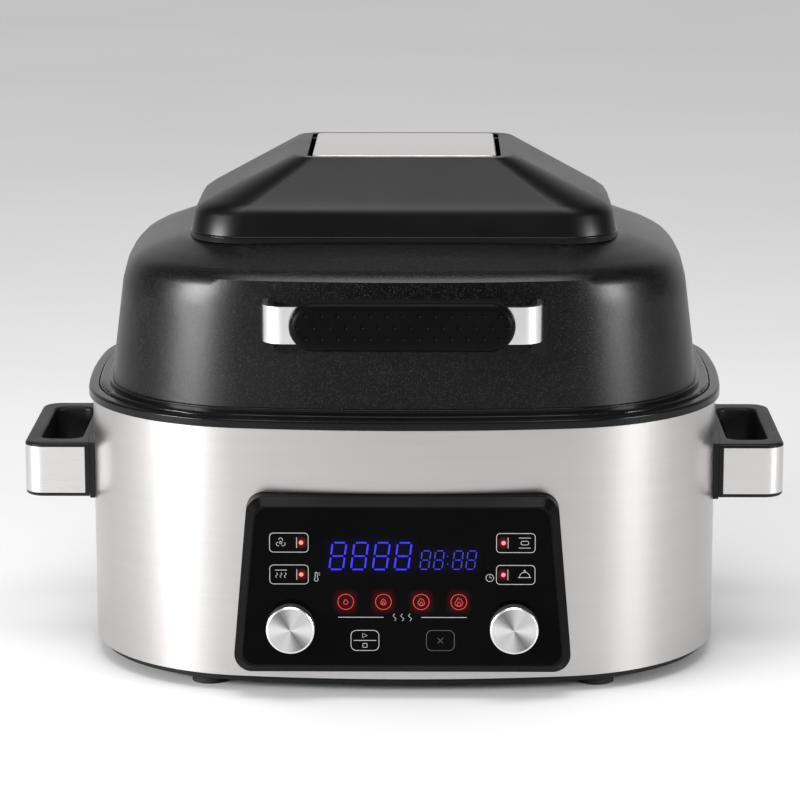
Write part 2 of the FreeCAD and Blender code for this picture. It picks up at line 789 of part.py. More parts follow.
def pot_sections(owner, level, wall):
    """Outlines of the pot from its floor up: a rounded foot, then sides that lean outward."""
    sections = []
    for rise_share, inset_share in POT_FOOT_SHARES:
        inset = "pot_foot_inset + %s + pot_round * %s" % (wall, inset_share)
        sections.append(body_oval(owner, "%s + pot_round * %s" % (level, rise_share), inset))
    return sections + [body_oval(owner, "pot_top", "pot_top_inset + " + wall)]


def cooking_pot():
    made = body("cooking_pot")
    loft(made, pot_sections(made, "pot_bottom", "0"))
    pad(made, body_oval(made, "rim_deck_top", "pot_flange_inset"), "pot_flange")
    loft(made, pot_sections(made, "pot_floor_top", "pot_wall"), hollow=True)


def grill_plate():
    made = body("grill_plate")
    pad(made, body_oval(made, "grill_bottom", "grill_inset"), "grill_plate")
    soften(made, level_edges(made, "grill_top"), "grill_plate / 4")
    feet = four_places("grill_foot_place_x", "grill_foot_place_y")
    pad(made, disc(made, "XY", "pot_floor_top", [(x, y, "grill_foot_radius") for x, y in feet]),
        "grill_foot_height")
    x = row_start(GRILL_RIBS, "grill_rib_pitch")
    band = ((x, "0 - grill_rib_length / 2 + grill_rib_width / 2", "grill_rib_width / 2"),
            (x, "grill_rib_length / 2 - grill_rib_width / 2", "grill_rib_width / 2"))
    rib = pad(made, hull(made, "XY", "grill_top", band), "grill_rib_height")
    repeat_row(made, rib, "X", GRILL_RIBS, "grill_rib_pitch")
    x = row_start(GRILL_RIBS - 1, "grill_rib_pitch")
    slots = []
    for middle in ("grill_slot_place_y", "0 - grill_slot_place_y"):
        slots.append(((x, middle + " - grill_slot_length / 2", "grill_slot_width / 2"),
                      (x, middle + " + grill_slot_length / 2", "grill_slot_width / 2")))
    drain = cut(made, hull(made, "XY", "grill_top", *slots), "grill_plate")
    repeat_row(made, drain, "X", GRILL_RIBS - 1, "grill_rib_pitch")


# Side handles


def side_handle(side):
    made = body(side + "_side_handle")
    reach = "(side_handle_reach - side_trim)"
    depth = "(side_handle_half_depth - side_trim)"
    core = round_box("body_half_width / 2", "0 - " + depth, reach, depth, "side_handle_round - side_trim")
    pad(made, hull(made, "XY", "side_handle_bottom", core), "side_handle_height")
    lip = round_box("body_half_width / 2", "0 - side_handle_half_depth", "side_handle_reach",
                    "side_handle_half_depth", "side_handle_round")
    lip_height = "side_trim_margin - thread_gap"
    pad(made, hull(made, "XY", "side_handle_bottom", lip), lip_height)
    pad(made, hull(made, "XY", "side_handle_top", lip), lip_height, back=True)
    root_box = ("body_half_width / 2 + side_handle_round", "0 - side_handle_half_depth",
                "side_trim_start - thread_gap", "side_handle_half_depth")
    pad(made, block(made, "XY", "side_handle_bottom", root_box), "side_handle_height")
    hole = round_box("side_hole_start", "0 - side_hole_half_depth", "side_handle_reach - side_hole_wall",
                     "side_hole_half_depth", "side_hole_round")
    cut(made, hull(made, "XY", "side_handle_top", hole), "side_handle_height")
    soften(made, level_edges(made, "side_handle_top") + level_edges(made, "side_handle_bottom"),
           "side_handle_edge")
    root = body_oval(made, "side_handle_top + cut_overrun", "0 - side_flange - 2 * curve_gap")
    cut(made, root, "side_handle_height + 2 * cut_overrun")
    screws = [(b + "side_screw_place_y", "side_handle_middle", "screw_hole") for b in ("", "0 - ")]
    cut(made, disc(made, "YZ", "body_half_width + side_screw_length", screws), "body_half_width")
    if side == "left":
        half_turn(made)


def side_flange(side):
    made = body(side + "_handle_flange")
    low = "side_handle_bottom - side_flange_margin"
    height = "(side_handle_height + 2 * side_flange_margin)"
    pad(made, body_oval(made, low, "0 - side_flange - curve_gap"), height)
    reach = "(side_handle_half_depth + side_flange_margin)"
    far = "(side_handle_reach + cut_overrun)"
    keep = round_box("0 - " + far, "0 - " + far, far, "0 - " + reach, "cut_overrun")
    keep_back = round_box("0 - " + far, reach, far, far, "cut_overrun")
    other = round_box("0 - " + far, "0 - " + reach + " - cut_overrun", "body_half_width / 2",
                      reach + " + cut_overrun", "cut_overrun")
    for outline in (keep, keep_back, other):
        cut(made, hull(made, "XY", low + " + " + height, outline), height)
    cut(made, body_oval(made, low + " + " + height, "0 - curve_gap"), height)
    screws = [(b + "side_screw_place_y", "side_handle_middle", "screw_hole") for b in ("", "0 - ")]
    cut(made, disc(made, "YZ", "side_handle_reach", screws), "side_handle_reach")
    if side == "left":
        half_turn(made)


def side_trim(side):
    made = body(side + "_handle_trim")
    low = "side_handle_bottom + side_trim_margin"
    height = "(side_handle_height - 2 * side_trim_margin)"
    reach, depth = "side_handle_reach", "side_handle_half_depth"
    outer = round_box("body_half_width / 2", "0 - " + depth, reach, depth, "side_handle_round")
    pad(made, hull(made, "XY", low, outer), height)
    inner_reach = "(side_handle_reach - side_trim + thread_gap)"
    inner_depth = "(side_handle_half_depth - side_trim + thread_gap)"
    inner = round_box("0 - " + inner_reach, "0 - " + inner_depth, inner_reach, inner_depth,
                      "side_handle_round - side_trim + thread_gap")
    cut(made, hull(made, "XY", low + " + " + height, inner), height)
    ends = block(made, "XY", low + " + " + height,
                 ("0", "0 - side_handle_reach", "side_trim_start", "side_handle_reach"))
    cut(made, ends, height)
    if side == "left":
        half_turn(made)


def side_screws(side):
    made = body(side + "_handle_screws")
    places = [(b + "side_screw_place_y", "side_handle_middle") for b in ("", "0 - ")]
    seat = "body_half_width - side_screw_sag - steel_wall - seat_gap"
    heads = disc(made, "YZ", seat, [(y, z, "screw_head_radius") for y, z in places])
    pad(made, heads, "screw_head", back=True)
    shanks = disc(made, "YZ", seat, [(y, z, "screw_radius") for y, z in places])
    pad(made, shanks, "side_screw_length - thread_gap")
    if side == "left":
        half_turn(made)


# Control panel


def panel_outline(inset):
    """The trapezoid of the panel with rounded corners, drawn in by an inset."""
    turn = "(panel_round - (%s) / 2)" % inset
    draw_in = "(%s) + %s" % (inset, turn)
    foot, head = "panel_foot_half_width - (%s)" % draw_in, "panel_head_half_width - (%s)" % draw_in
    low, high = "panel_bottom + " + draw_in, "panel_top - (%s)" % draw_in
    return (("0 - (%s)" % foot, low, turn), (foot, low, turn),
            (head, high, turn), ("0 - (%s)" % head, high, turn))


def panel_bezel():
    made = body("panel_bezel")
    pad(made, hull(made, "XZ", "panel_back", panel_outline("0")), "panel_depth")
    bevel(made, facing_edges(made, "panel_front"), "panel_chamfer")
    cut(made, hull(made, "XZ", "panel_front", panel_outline("panel_ledge")), "panel_front - glass_back")
    cut(made, hull(made, "XZ", "panel_front", panel_outline("panel_frame")), "panel_depth")
    posts = [(x, z, "board_post_radius") for x, z, turn in panel_outline("0")]
    pad(made, disc(made, "XZ", "panel_back", posts), "board_stand", back=True)


def panel_glass():
    made = body("panel_glass")
    outline = panel_outline("panel_ledge + thread_gap")
    pad(made, hull(made, "XZ", "glass_back", outline), "glass_thickness")
    holes = [(a + "knob_place_x", "knob_level", "glass_hole_radius") for a in ("", "0 - ")]
    cut(made, disc(made, "XZ", "glass_front", holes), "glass_thickness")


def control_board():
    made = body("control_board")
    outline = panel_outline("panel_round / 4")
    pad(made, hull(made, "XZ", "board_front", outline), "board_thickness", back=True)


def display_module():
    made = body("display_module")
    low, high = "display_level - display_height / 2", "display_level + display_height / 2"
    box = block(made, "XZ", "board_front", ("0 - display_half_width", low, "display_half_width", high))
    pad(made, box, "glass_back - board_front - seat_gap")


def knob_set(side):
    """Encoder in the body, then the shaft, core and cap that turn."""
    sign = "0 - " if side == "left" else ""
    encoder = body(side + "_encoder")
    half = "encoder_half_width"
    low, high = "knob_level - " + half, "knob_level + " + half
    pad(encoder, block(encoder, "XZ", "board_front", ("0 - " + half, low, half, high)), "encoder_depth")
    bush = disc(encoder, "XZ", "board_front + encoder_depth", [("0", "knob_level", "encoder_bush_radius")])
    pad(encoder, bush, "encoder_bush_length")
    bore = [("0", "knob_level", "knob_shaft_radius + running_gap")]
    depth = "encoder_depth / 2 + encoder_bush_length"
    cut(encoder, disc(encoder, "XZ", "board_front + encoder_depth + encoder_bush_length", bore), depth)
    shaft = body(side + "_knob_shaft")
    start = "(board_front + encoder_depth / 2 + seat_gap)"
    spindle = disc(shaft, "XZ", start, [("0", "knob_level", "knob_shaft_radius")])
    pad(shaft, spindle, "knob_front - knob_face - " + start)
    core = body(side + "_knob_core")
    inner = "knob_radius - knob_wall"
    pad(core, disc(core, "XZ", "knob_back", [("0", "knob_level", inner)]), "knob_height - knob_face")
    socket = disc(core, "XZ", "knob_front", [("0", "knob_level", "knob_shaft_radius")])
    cut(core, socket, "knob_height")
    cap = body(side + "_knob_cap")
    pad(cap, disc(cap, "XZ", "knob_back", [("0", "knob_level", "knob_radius")]), "knob_height")
    bevel(cap, facing_edges(cap, "knob_front"), "knob_edge")
    recess = disc(cap, "XZ", "knob_back", [("0", "knob_level", inner)])
    cut(cap, recess, "knob_height - knob_face", forward=True)
    for piece in (encoder, shaft, core, cap):
        shift(piece, "x", sign + "knob_place_x")


def power_board():
    made = body("power_board")
    board_level = "pan_floor_top + power_stand"
    stands = four_places("(power_half_width - 2 * power_stand_radius)",
                         "(power_half_depth - 2 * power_stand_radius)")
    feet = [(x, y, "power_stand_radius") for x, y in stands]
    pad(made, disc(made, "XY", "pan_floor_top", feet), "power_stand")
    plate = centred_box("power_half_width", "power_half_depth", "power_stand_radius")
    pad(made, hull(made, "XY", board_level, plate), "board_thickness")
    top = board_level + " + board_thickness"
    coil = round_box("0 - 2 * transformer_half_width", "0 - transformer_half_depth",
                     "0", "transformer_half_depth", "power_stand_radius / 2")
    pad(made, hull(made, "XY", top, coil), "transformer_height")
    pad(made, disc(made, "XY", top, [("2 * capacitor_radius", "capacitor_radius", "capacitor_radius")]),
        "capacitor_height")
    relay = round_box("4 * relay_half_width", "0 - relay_half_depth",
                      "5.5 * relay_half_width", "relay_half_depth", "power_stand_radius / 2")
    pad(made, hull(made, "XY", top, relay), "relay_height")


def cord_gland():
    made = body("cord_gland")
    seat = "(0 - body_half_depth - curve_gap)"
    spot = ("gland_place_x", "gland_level")
    pad(made, disc(made, "XZ", seat, [spot + ("gland_flange_radius",)]), "gland_flange", back=True)
    nut_seat = "(%s + gland_sag + steel_wall + 2 * curve_gap)" % seat
    pad(made, disc(made, "XZ", seat, [spot + ("gland_neck_radius",)]), nut_seat + " + gland_nut - " + seat)
    pad(made, disc(made, "XZ", nut_seat, [spot + ("gland_nut_radius",)]), "gland_nut")
    bore = disc(made, "XZ", nut_seat + " + gland_nut", [spot + ("gland_bore_radius",)])
    cut(made, bore, "gland_flange + 2 * gland_nut + gland_sag + steel_wall")


# Hinge


def hinge_bracket():
    made = body("hinge_bracket")
    half = "hinge_block_half_width"
    box = block(made, "XY", "hinge_block_bottom",
                ("0 - " + half, "body_half_depth / 2", half, "hinge_block_back"))
    pad(made, box, "hinge_block_top - hinge_block_bottom")
    cut(made, body_oval(made, "hinge_block_top", "0 - curve_gap"), "hinge_block_top - hinge_block_bottom")
    for start in ("hinge_ear_start", "hinge_outer_ear_start"):
        for sign in ("", "0 - "):
            low = "hinge_block_top - hinge_ear_radius"
            ear = (("hinge_axis_y", low, "hinge_ear_radius"),
                   ("hinge_axis_y", "hinge_axis_level", "hinge_ear_radius"))
            pad(made, hull(made, "YZ", sign + start, ear), "hinge_ear", back=bool(sign))
    pin = disc(made, "YZ", half, [("hinge_axis_y", "hinge_axis_level", "hinge_pin_radius")])
    cut(made, pin, "2 * " + half)
    screws = [(a + "hinge_screw_place_x", "hinge_screw_level", "screw_hole") for a in ("", "0 - ")]
    cut(made, disc(made, "XZ", "0", screws), "body_half_depth + hinge_ear_radius")


def hinge_screws():
    made = body("hinge_screws")
    places = [(a + "hinge_screw_place_x", "hinge_screw_level") for a in ("", "0 - ")]
    seat = "(steel_wall + seat_gap + hinge_screw_sag - body_half_depth)"
    heads = disc(made, "XZ", seat, [(x, z, "screw_head_radius") for x, z in places])
    pad(made, heads, "screw_head")
    shanks = disc(made, "XZ", seat, [(x, z, "screw_radius") for x, z in places])
    pad(made, shanks, "hinge_ear_radius", back=True)


def hinge_cover():
    made = body("hinge_cover")
    half = "(hinge_block_half_width + hinge_cover_wall + seat_gap)"
    low = "(hinge_block_bottom - hinge_cover_wall - seat_gap)"
    height = "(hinge_block_top - %s)" % low
    outer = round_box("0 - " + half, "body_half_depth / 2", half, "overall_half_depth",
                      "2 * hinge_cover_wall")
    pad(made, hull(made, "XY", low, outer), height)
    inner_half = "(hinge_block_half_width + seat_gap)"
    inner_top = "hinge_block_top - hinge_block_bottom + seat_gap"
    inner = block(made, "XY", "hinge_block_top",
                  ("0 - " + inner_half, "0", inner_half, "overall_half_depth - hinge_cover_wall"))
    cut(made, inner, inner_top)
    cut(made, body_oval(made, "hinge_block_top", "0 - curve_gap"), height)


def hinge_pins():
    made = body("hinge_pins")
    spot = ("hinge_axis_y", "hinge_axis_level")
    for sign in ("", "0 - "):
        start = sign + "hinge_ear_start"
        back = bool(sign)
        shank = disc(made, "YZ", start, [spot + ("hinge_pin_radius",)])
        pad(made, shank, "hinge_pin_length", back=back)
        head = disc(made, "YZ", start, [spot + ("hinge_pin_head_radius",)])
        pad(made, head, "hinge_pin_head", back=not back)


def lid_oval(owner, shares, grow, drop="0"):
    """The lid's outline at one set of its shares, grown by a clearance and lowered by a share of a drop."""
    rise, side, front = shares
    half_width = "(body_half_width + lid_front_draw * %s - lid_side_draw * %s)" % (front, side)
    inset = "(lid_shell_inset + lid_front_draw * %s - (%s))" % (front, grow)
    level = "lid_step_top + (lid_rise - (%s)) * %s" % (drop, rise)
    return oval(owner, level, half_width, "body_half_depth", inset)


def lid_envelope(owner, grow):
    """The outside of the lid's upright wall, grown by a clearance, cut away."""
    return loft(owner, [lid_oval(owner, shares, grow) for shares in LID_SHARES[:3]], hollow=True)


def hinge_arm(side):
    made = body(side + "_hinge_arm")
    start = ("0 - " if side == "left" else "") + "hinge_arm_start"
    eye = ("hinge_axis_y", "hinge_axis_level", "hinge_arm_radius")
    high = ("hinge_arm_reach", "hinge_arm_top - hinge_arm_radius / 2", "hinge_arm_radius / 2")
    low = ("hinge_arm_reach - hinge_arm_radius", "hinge_axis_level + hinge_arm_rise", "hinge_arm_radius")
    pad(made, hull(made, "YZ", start, (eye, high, low)), "hinge_arm", back=side == "left")
    lid_envelope(made, "curve_gap")
    bore = disc(made, "YZ", start, [("hinge_axis_y", "hinge_axis_level", "hinge_pin_radius + running_gap")])
    cut(made, bore, "hinge_arm", forward=side != "left")


# Lid


def lid_trim_ring():
    made = body("lid_trim_ring")
    pad(made, body_oval(made, "lid_trim_bottom", "lid_trim_outer_inset"), "lid_trim_top - lid_trim_bottom")
    soften(made, level_edges(made, "lid_trim_top"), "rim_round")
    pad(made, body_oval(made, "lid_trim_top", "lid_step_inset"), "lid_trim_step")
    soften(made, level_edges(made, "lid_step_top"), "rim_round / 2")
    cut(made, body_oval(made, "lid_step_top", "lid_step_inner_inset"), "lid_trim_step")
    cut(made, body_oval(made, "lid_trim_top", "lid_trim_inset"), "lid_trim_top - lid_trim_bottom")


def lid_gasket():
    made = body("lid_gasket")
    outer = "lid_trim_inset + curve_gap"
    height = "lid_trim_top - pot_top - seat_gap"
    pad(made, body_oval(made, "lid_trim_top", outer), height, back=True)
    cut(made, body_oval(made, "lid_trim_top", outer + " + gasket_width"), height)


def lid_shell():
    made = body("lid_shell")
    loft(made, [lid_oval(made, shares, "0") for shares in LID_SHARES])
    inner = [lid_oval(made, shares, "0 - lid_wall", "lid_wall") for shares in LID_INNER_SHARES]
    loft(made, inner, hollow=True)
    opening = centred_box("lid_opening_half_width", "lid_opening_half_depth", "lid_opening_round")
    cut(made, hull(made, "XY", "lid_top_level", opening), "lid_wall")
    screws = [(x, y, "screw_hole") for x, y in four_places("hood_boss_place_x", "hood_boss_place_y")]
    cut(made, disc(made, "XY", "lid_top_level", screws), "lid_wall")
    bolts = [(a + "bolt_place", "mount_bolt_level", "screw_hole") for a in ("", "0 - ")]
    cut(made, disc(made, "XZ", "overall_half_depth", bolts), "overall_half_depth")


def lid_liner():
    made = body("lid_liner")
    foot = body_oval(made, "lid_trim_top", "lid_liner_foot_inset")
    head = body_oval(made, "lid_liner_top", "lid_liner_top_inset")
    loft(made, (foot, head))
    pad(made, body_oval(made, "lid_trim_top", "lid_step_inner_inset + curve_gap"), "lid_liner_wall")
    low = body_oval(made, "lid_trim_top", "lid_liner_foot_inset + lid_liner_wall")
    high = body_oval(made, "lid_liner_top - lid_liner_wall", "lid_liner_top_inset + lid_liner_wall")
    loft(made, (low, high), hollow=True)
    ends = [(x, y, "element_tube_radius + thread_gap") for x, y in element_ends()]
    probe = ("sensor_place_x", "0", "sensor_radius + thread_gap")
    holes = [("0", "0", "lid_liner_hole_radius"), probe] + ends
    cut(made, disc(made, "XY", "lid_liner_top", holes), "lid_liner_wall")


def hood_box(half_width, half_depth, front_round, rear_round):
    """The corner circles of the hood's outline, rounder behind than in front."""
    front_x, front_y = "(%s - %s)" % (half_width, front_round), "(%s - %s)" % (half_depth, front_round)
    rear_x, rear_y = "(%s - %s)" % (half_width, rear_round), "(%s - %s)" % (half_depth, rear_round)
    return (("0 - " + front_x, "0 - " + front_y, front_round), (front_x, "0 - " + front_y, front_round),
            (rear_x, rear_y, rear_round), ("0 - " + rear_x, rear_y, rear_round))


def hood_base():
    made = body("hood_base")
    outer = hood_box("(hood_half_width + hood_base_lip)", "(hood_half_depth + hood_base_lip)",
                     "(hood_front_round + hood_base_lip)", "(hood_rear_round + hood_base_lip)")
    pad(made, hull(made, "XY", "lid_top_level", outer), "hood_base_height")
    soften(made, level_edges(made, "hood_bottom"), "hood_base_lip")
    opening = hood_box("(hood_half_width - hood_base_wall)", "(hood_half_depth - hood_base_wall)",
                       "(hood_front_round - hood_base_wall / 2)", "(hood_rear_round - hood_base_wall / 2)")
    bosses = four_places("hood_boss_place_x", "hood_boss_place_y")
    cut(made, hull(made, "XY", "hood_bottom", opening), "hood_base_height")
    tabs = [(x, y, "hood_boss_radius") for x, y in bosses]
    pad(made, disc(made, "XY", "lid_top_level", tabs), "hood_base_height")
    cut(made, disc(made, "XY", "hood_bottom", [(x, y, "screw_hole") for x, y in bosses]), "hood_base_height")


def hood_section(owner, foot_share, top_share, inset, drop):
    """The hood's rounded rectangle between its foot, its brow and its flat top.

    The two shares weigh the foot and the top against the brow. The inset draws the sides in and the
    drop lowers the section, both for the inside of a wall.
    """
    brow_share = "(1 - %s - %s)" % (foot_share, top_share)

    def mix(foot, brow, top):
        return "(%s * (%s) + %s * (%s) + %s * (%s))" % (foot_share, foot, brow_share, brow, top_share, top)

    half_width = mix("hood_half_width", "hood_half_width - hood_flare", "hood_plateau_half_width")
    half_depth = mix("hood_half_depth", "hood_half_depth - hood_flare", "hood_plateau_half_depth")
    front = mix("hood_front_round", "hood_front_round - hood_flare / 2", "hood_plateau_round")
    rear = mix("hood_rear_round", "hood_rear_round - hood_flare / 2", "hood_plateau_round")
    level = mix("hood_bottom", "hood_brow_level", "hood_top_level")
    outline = hood_box("(%s - %s)" % (half_width, inset), "(%s - %s)" % (half_depth, inset),
                       "(%s - %s)" % (front, inset), "(%s - %s)" % (rear, inset))
    return hull(owner, "XY", "%s - %s" % (level, drop), outline)


def hood_cap():
    made = body("hood_cap")
    shares = (("1", "0"), ("hood_foot_part", "0"), ("hood_foot_part / 4", "hood_top_part / 4"),
              ("0", "hood_top_part"), ("0", "1"))
    loft(made, [hood_section(made, foot, top, "0", "0") for foot, top in shares])
    loft(made, (hood_section(made, "1", "0", "hood_wall", "0"),
                hood_section(made, "0", "0", "hood_wall", "hood_wall"),
                hood_section(made, "0", "1", "hood_wall", "hood_top_wall")), hollow=True)
    seat_half_width = "(top_plate_half_width + top_plate_gap + intake_width)"
    seat_half_depth = "(top_plate_half_depth + top_plate_gap)"
    seat = centred_box(seat_half_width, seat_half_depth, "top_plate_round")
    cut(made, hull(made, "XY", "hood_top_level", seat), "hood_top_level - hood_seat_level")
    slots = []
    for sign in ("", "0 - "):
        x = sign + "(top_plate_half_width + top_plate_gap + intake_width / 2)"
        slots.append(((x, "0 - intake_half_length", "intake_width / 2"),
                      (x, "intake_half_length", "intake_width / 2")))
    cut(made, hull(made, "XY", "hood_seat_level", *slots), "hood_top_wall")
    x = row_start(EXHAUST_SLOTS, "exhaust_slot_pitch")
    slot = ((x, "exhaust_level - exhaust_slot_height / 2", "exhaust_slot_width / 2"),
            (x, "exhaust_level + exhaust_slot_height / 2", "exhaust_slot_width / 2"))
    louvre = cut(made, hull(made, "XZ", "0 - hood_plateau_half_depth", slot), "hood_half_depth")
    repeat_row(made, louvre, "X", EXHAUST_SLOTS, "exhaust_slot_pitch")
    bosses = four_places("hood_boss_place_x", "hood_boss_place_y")
    posts = [(x, y, "hood_boss_radius") for x, y in bosses]
    pad(made, disc(made, "XY", "hood_bottom", posts), "hood_boss_height")
    screws = [(x, y, "screw_hole") for x, y in bosses]
    cut(made, disc(made, "XY", "hood_bottom", screws), "hood_boss_height - hood_wall", forward=True)


def lid_screws():
    made = body("lid_screws")
    places = four_places("hood_boss_place_x", "hood_boss_place_y")
    seat = "lid_top_level - lid_wall"
    heads = disc(made, "XY", seat, [(x, y, "screw_head_radius") for x, y in places])
    pad(made, heads, "screw_head", back=True)
    length = "lid_wall + hood_base_height + hood_boss_height / 2"
    pad(made, disc(made, "XY", seat, [(x, y, "screw_radius") for x, y in places]), length)


def top_plate():
    made = body("top_plate")
    outline = centred_box("top_plate_half_width", "top_plate_half_depth", "top_plate_round")
    pad(made, hull(made, "XY", "hood_seat_level", outline), "top_plate")
    soften(made, level_edges(made, "hood_seat_level + top_plate"), "top_plate / 3")


# Motor, fans and heater


def motor_bracket():
    made = body("motor_bracket")
    top = "lid_liner_top + bracket_stand"
    plate = centred_box("bracket_half_width", "bracket_half_depth", "bracket_round")
    pad(made, hull(made, "XY", top, plate), "bracket_plate")
    low, high = "0 - bracket_half_depth + bracket_round", "bracket_half_depth - bracket_round"
    inner, outer = "(bracket_half_width - bracket_leg)", "bracket_half_width"
    legs = block(made, "XY", "lid_liner_top", (inner, low, outer, high),
                 ("0 - " + outer, low, "0 - " + inner, high))
    pad(made, legs, "bracket_stand")
    hole = disc(made, "XY", top + " + bracket_plate", [("0", "0", "bracket_hole_radius")])
    cut(made, hole, "bracket_plate")


def motor_stator():
    made = body("motor_stator")
    pad(made, disc(made, "XY", "motor_bottom", [("0", "0", "motor_radius")]), "motor_height")
    half = "motor_stack_half_width"
    stack = hull(made, "XY", "motor_bottom + (motor_height - motor_stack_height) / 2",
                 centred_box(half, half, "motor_stack_round"))
    pad(made, stack, "motor_stack_height")
    bore = disc(made, "XY", "motor_bottom", [("0", "0", "shaft_radius + running_gap")])
    cut(made, bore, "shaft_top - motor_bottom + seat_gap", forward=True)


def motor_shaft():
    made = body("motor_shaft")
    spindle = disc(made, "XY", "shaft_bottom", [("0", "0", "shaft_radius")])
    pad(made, spindle, "shaft_top - shaft_bottom")


def radial_band(start, end, half_width):
    """A band that points outward from the upright axis."""
    return ((start, "0", half_width), (end, "0", half_width))


def convection_fan():
    made = body("convection_fan")
    pad(made, disc(made, "XY", "fan_level", [("0", "0", "fan_radius")]), "fan_disc")
    band = radial_band("fan_blade_start", "(fan_radius - 3 * fan_blade_half_width)", "fan_blade_half_width")
    blade = pad(made, hull(made, "XY", "fan_level", band), "fan_blade_height", back=True)
    repeat_round(made, blade, FAN_BLADES)
    pad(made, disc(made, "XY", "fan_level", [("0", "0", "fan_hub_radius")]), "fan_hub_height", back=True)
    bore = disc(made, "XY", "fan_level + fan_disc", [("0", "0", "shaft_radius")])
    cut(made, bore, "fan_disc + fan_hub_height")


def cooling_fan():
    made = body("cooling_fan")
    pad(made, disc(made, "XY", "cooling_fan_level", [("0", "0", "cooling_hub_radius")]), "cooling_fan_height")
    band = radial_band("(cooling_hub_radius - fan_blade_half_width)",
                       "(cooling_fan_radius - fan_blade_half_width)", "fan_blade_half_width")
    blade = pad(made, hull(made, "XY", "cooling_fan_level", band), "cooling_fan_height")
    repeat_round(made, blade, COOLING_BLADES)
    cut(made, disc(made, "XY", "cooling_fan_level + cooling_fan_height", [("0", "0", "shaft_radius")]),
        "cooling_fan_height")


def fan_nut():
    made = body("fan_nut")
    top = "fan_level - fan_hub_height"
    corners = [place + ("fan_nut_radius / 8",) for place in ring_places(6, "fan_nut_radius")]
    pad(made, hull(made, "XY", top, corners), "fan_nut_height", back=True)
    cut(made, disc(made, "XY", top, [("0", "0", "shaft_radius")]), "fan_nut_height")


def element_ends():
    """The two upright ends of the heating ring, as x and y expressions."""
    return [ring_place("element_ring_radius", degrees) for degrees in (0, -ELEMENT_GAP_DEGREES)]


def heating_element():
    made = body("heating_element")
    section = disc(made, "XZ", "0", [("element_ring_radius", "element_level", "element_tube_radius")])
    ring = made.newObject("PartDesign::Revolution", "heating_element_ring")
    ring.Profile = section
    ring.ReferenceAxis = (section, ["V_Axis"])
    ring.Angle = 360 - ELEMENT_GAP_DEGREES
    ends = [(x, y, "element_tube_radius") for x, y in element_ends()]
    length = "lid_liner_top + element_end_height - element_level"
    pad(made, disc(made, "XY", "element_level", ends), length)


def element_clips():
    made = body("element_clips")
    spots = [ring_place("element_ring_radius", degrees) + ("clip_radius",) for degrees in CLIP_DEGREES]
    low = "element_level + element_tube_radius + thread_gap"
    pad(made, disc(made, "XY", low, spots), "lid_liner_top - lid_liner_wall - (%s)" % low)


def fan_guard():
    made = body("fan_guard")
    pad(made, disc(made, "XY", "guard_level", [("0", "0", "guard_radius")]), "guard_round")
    inside = disc(made, "XY", "guard_level + guard_round", [("0", "0", "guard_radius - guard_plate")])
    cut(made, inside, "guard_round - guard_plate")
    for start, end, count in (("guard_slot_start", "guard_slot_middle", GUARD_INNER_SLOTS),
                              ("guard_slot_middle + guard_slot_web", "guard_slot_end", GUARD_OUTER_SLOTS)):
        band = radial_band(start + " + guard_slot_half_width", end + " - guard_slot_half_width",
                           "guard_slot_half_width")
        slot = cut(made, hull(made, "XY", "guard_level + guard_plate", band), "guard_plate")
        repeat_round(made, slot, count)
    posts = [place + ("guard_post_radius",) for place in ring_places(GUARD_POSTS, "guard_post_ring", 45)]
    length = "lid_liner_top - lid_liner_wall - guard_level"
    pad(made, disc(made, "XY", "guard_level", posts), length)


def temperature_sensor():
    made = body("temperature_sensor")
    spot = ("sensor_place_x", "0")
    pad(made, disc(made, "XY", "sensor_bottom", [spot + ("sensor_radius",)]), "lid_liner_top - sensor_bottom")
    pad(made, disc(made, "XY", "lid_liner_top", [spot + ("sensor_flange_radius",)]), "sensor_flange")


# Lid handle


def lid_handle_strap():
    made = body("lid_handle_strap")
    outer = round_box("0 - strap_half_width", "0 - strap_front", "strap_half_width", "0", "strap_round")
    pad(made, hull(made, "XY", "strap_bottom", outer), "strap_height")
    inner_half = "(strap_half_width - strap_thickness)"
    inner = round_box("0 - " + inner_half, "0 - strap_front + strap_thickness", inner_half, "strap_thickness",
                      "(strap_round - strap_thickness)")
    top = "strap_bottom + strap_height"
    cut(made, hull(made, "XY", top, inner), "strap_height")
    rear = block(made, "XY", top,
                 ("0 - overall_half_depth", "0 - mount_front", "overall_half_depth", "cut_overrun"))
    cut(made, rear, "strap_height")


def lid_handle_grip():
    made = body("lid_handle_grip")
    end = "(grip_half_length - grip_height / 2)"
    turn = "grip_height / 2"
    stadium = (("0 - " + end, "handle_level", turn), (end, "handle_level", turn))
    pad(made, hull(made, "XZ", "grip_back", stadium), "grip_depth")
    soften(made, facing_edges(made, "overall_half_depth") + facing_edges(made, "grip_back"), "grip_edge")
    low, high = "strap_bottom - grip_slot_gap", "strap_bottom + strap_height + grip_slot_gap"
    slot = block(made, "XZ", "strap_front + grip_slot_gap",
                 ("0 - grip_half_length", low, "grip_half_length", high))
    cut(made, slot, "strap_thickness + 2 * grip_slot_gap")


def lid_handle_mount(side):
    made = body(side + "_handle_mount")
    sign = "0 - " if side == "left" else ""
    middle = sign + "bolt_place"
    low, high = "mount_bottom", "mount_bottom + mount_height"
    box = round_box("(%s - mount_width / 2)" % middle, low, "(%s + mount_width / 2)" % middle, high,
                    "screw_radius")
    pad(made, hull(made, "XZ", "0", box), "mount_front")
    lid_envelope(made, "curve_gap")
    rest = block(made, "XZ", "lid_liner_top_inset",
                 ("0 - overall_half_depth", "0", "overall_half_depth", "lid_top_level"))
    cut(made, rest, "overall_half_depth")
    hole = disc(made, "XZ", "mount_front - strap_thickness", [(middle, "mount_bolt_level", "screw_hole")])
    cut(made, hole, "mount_front")


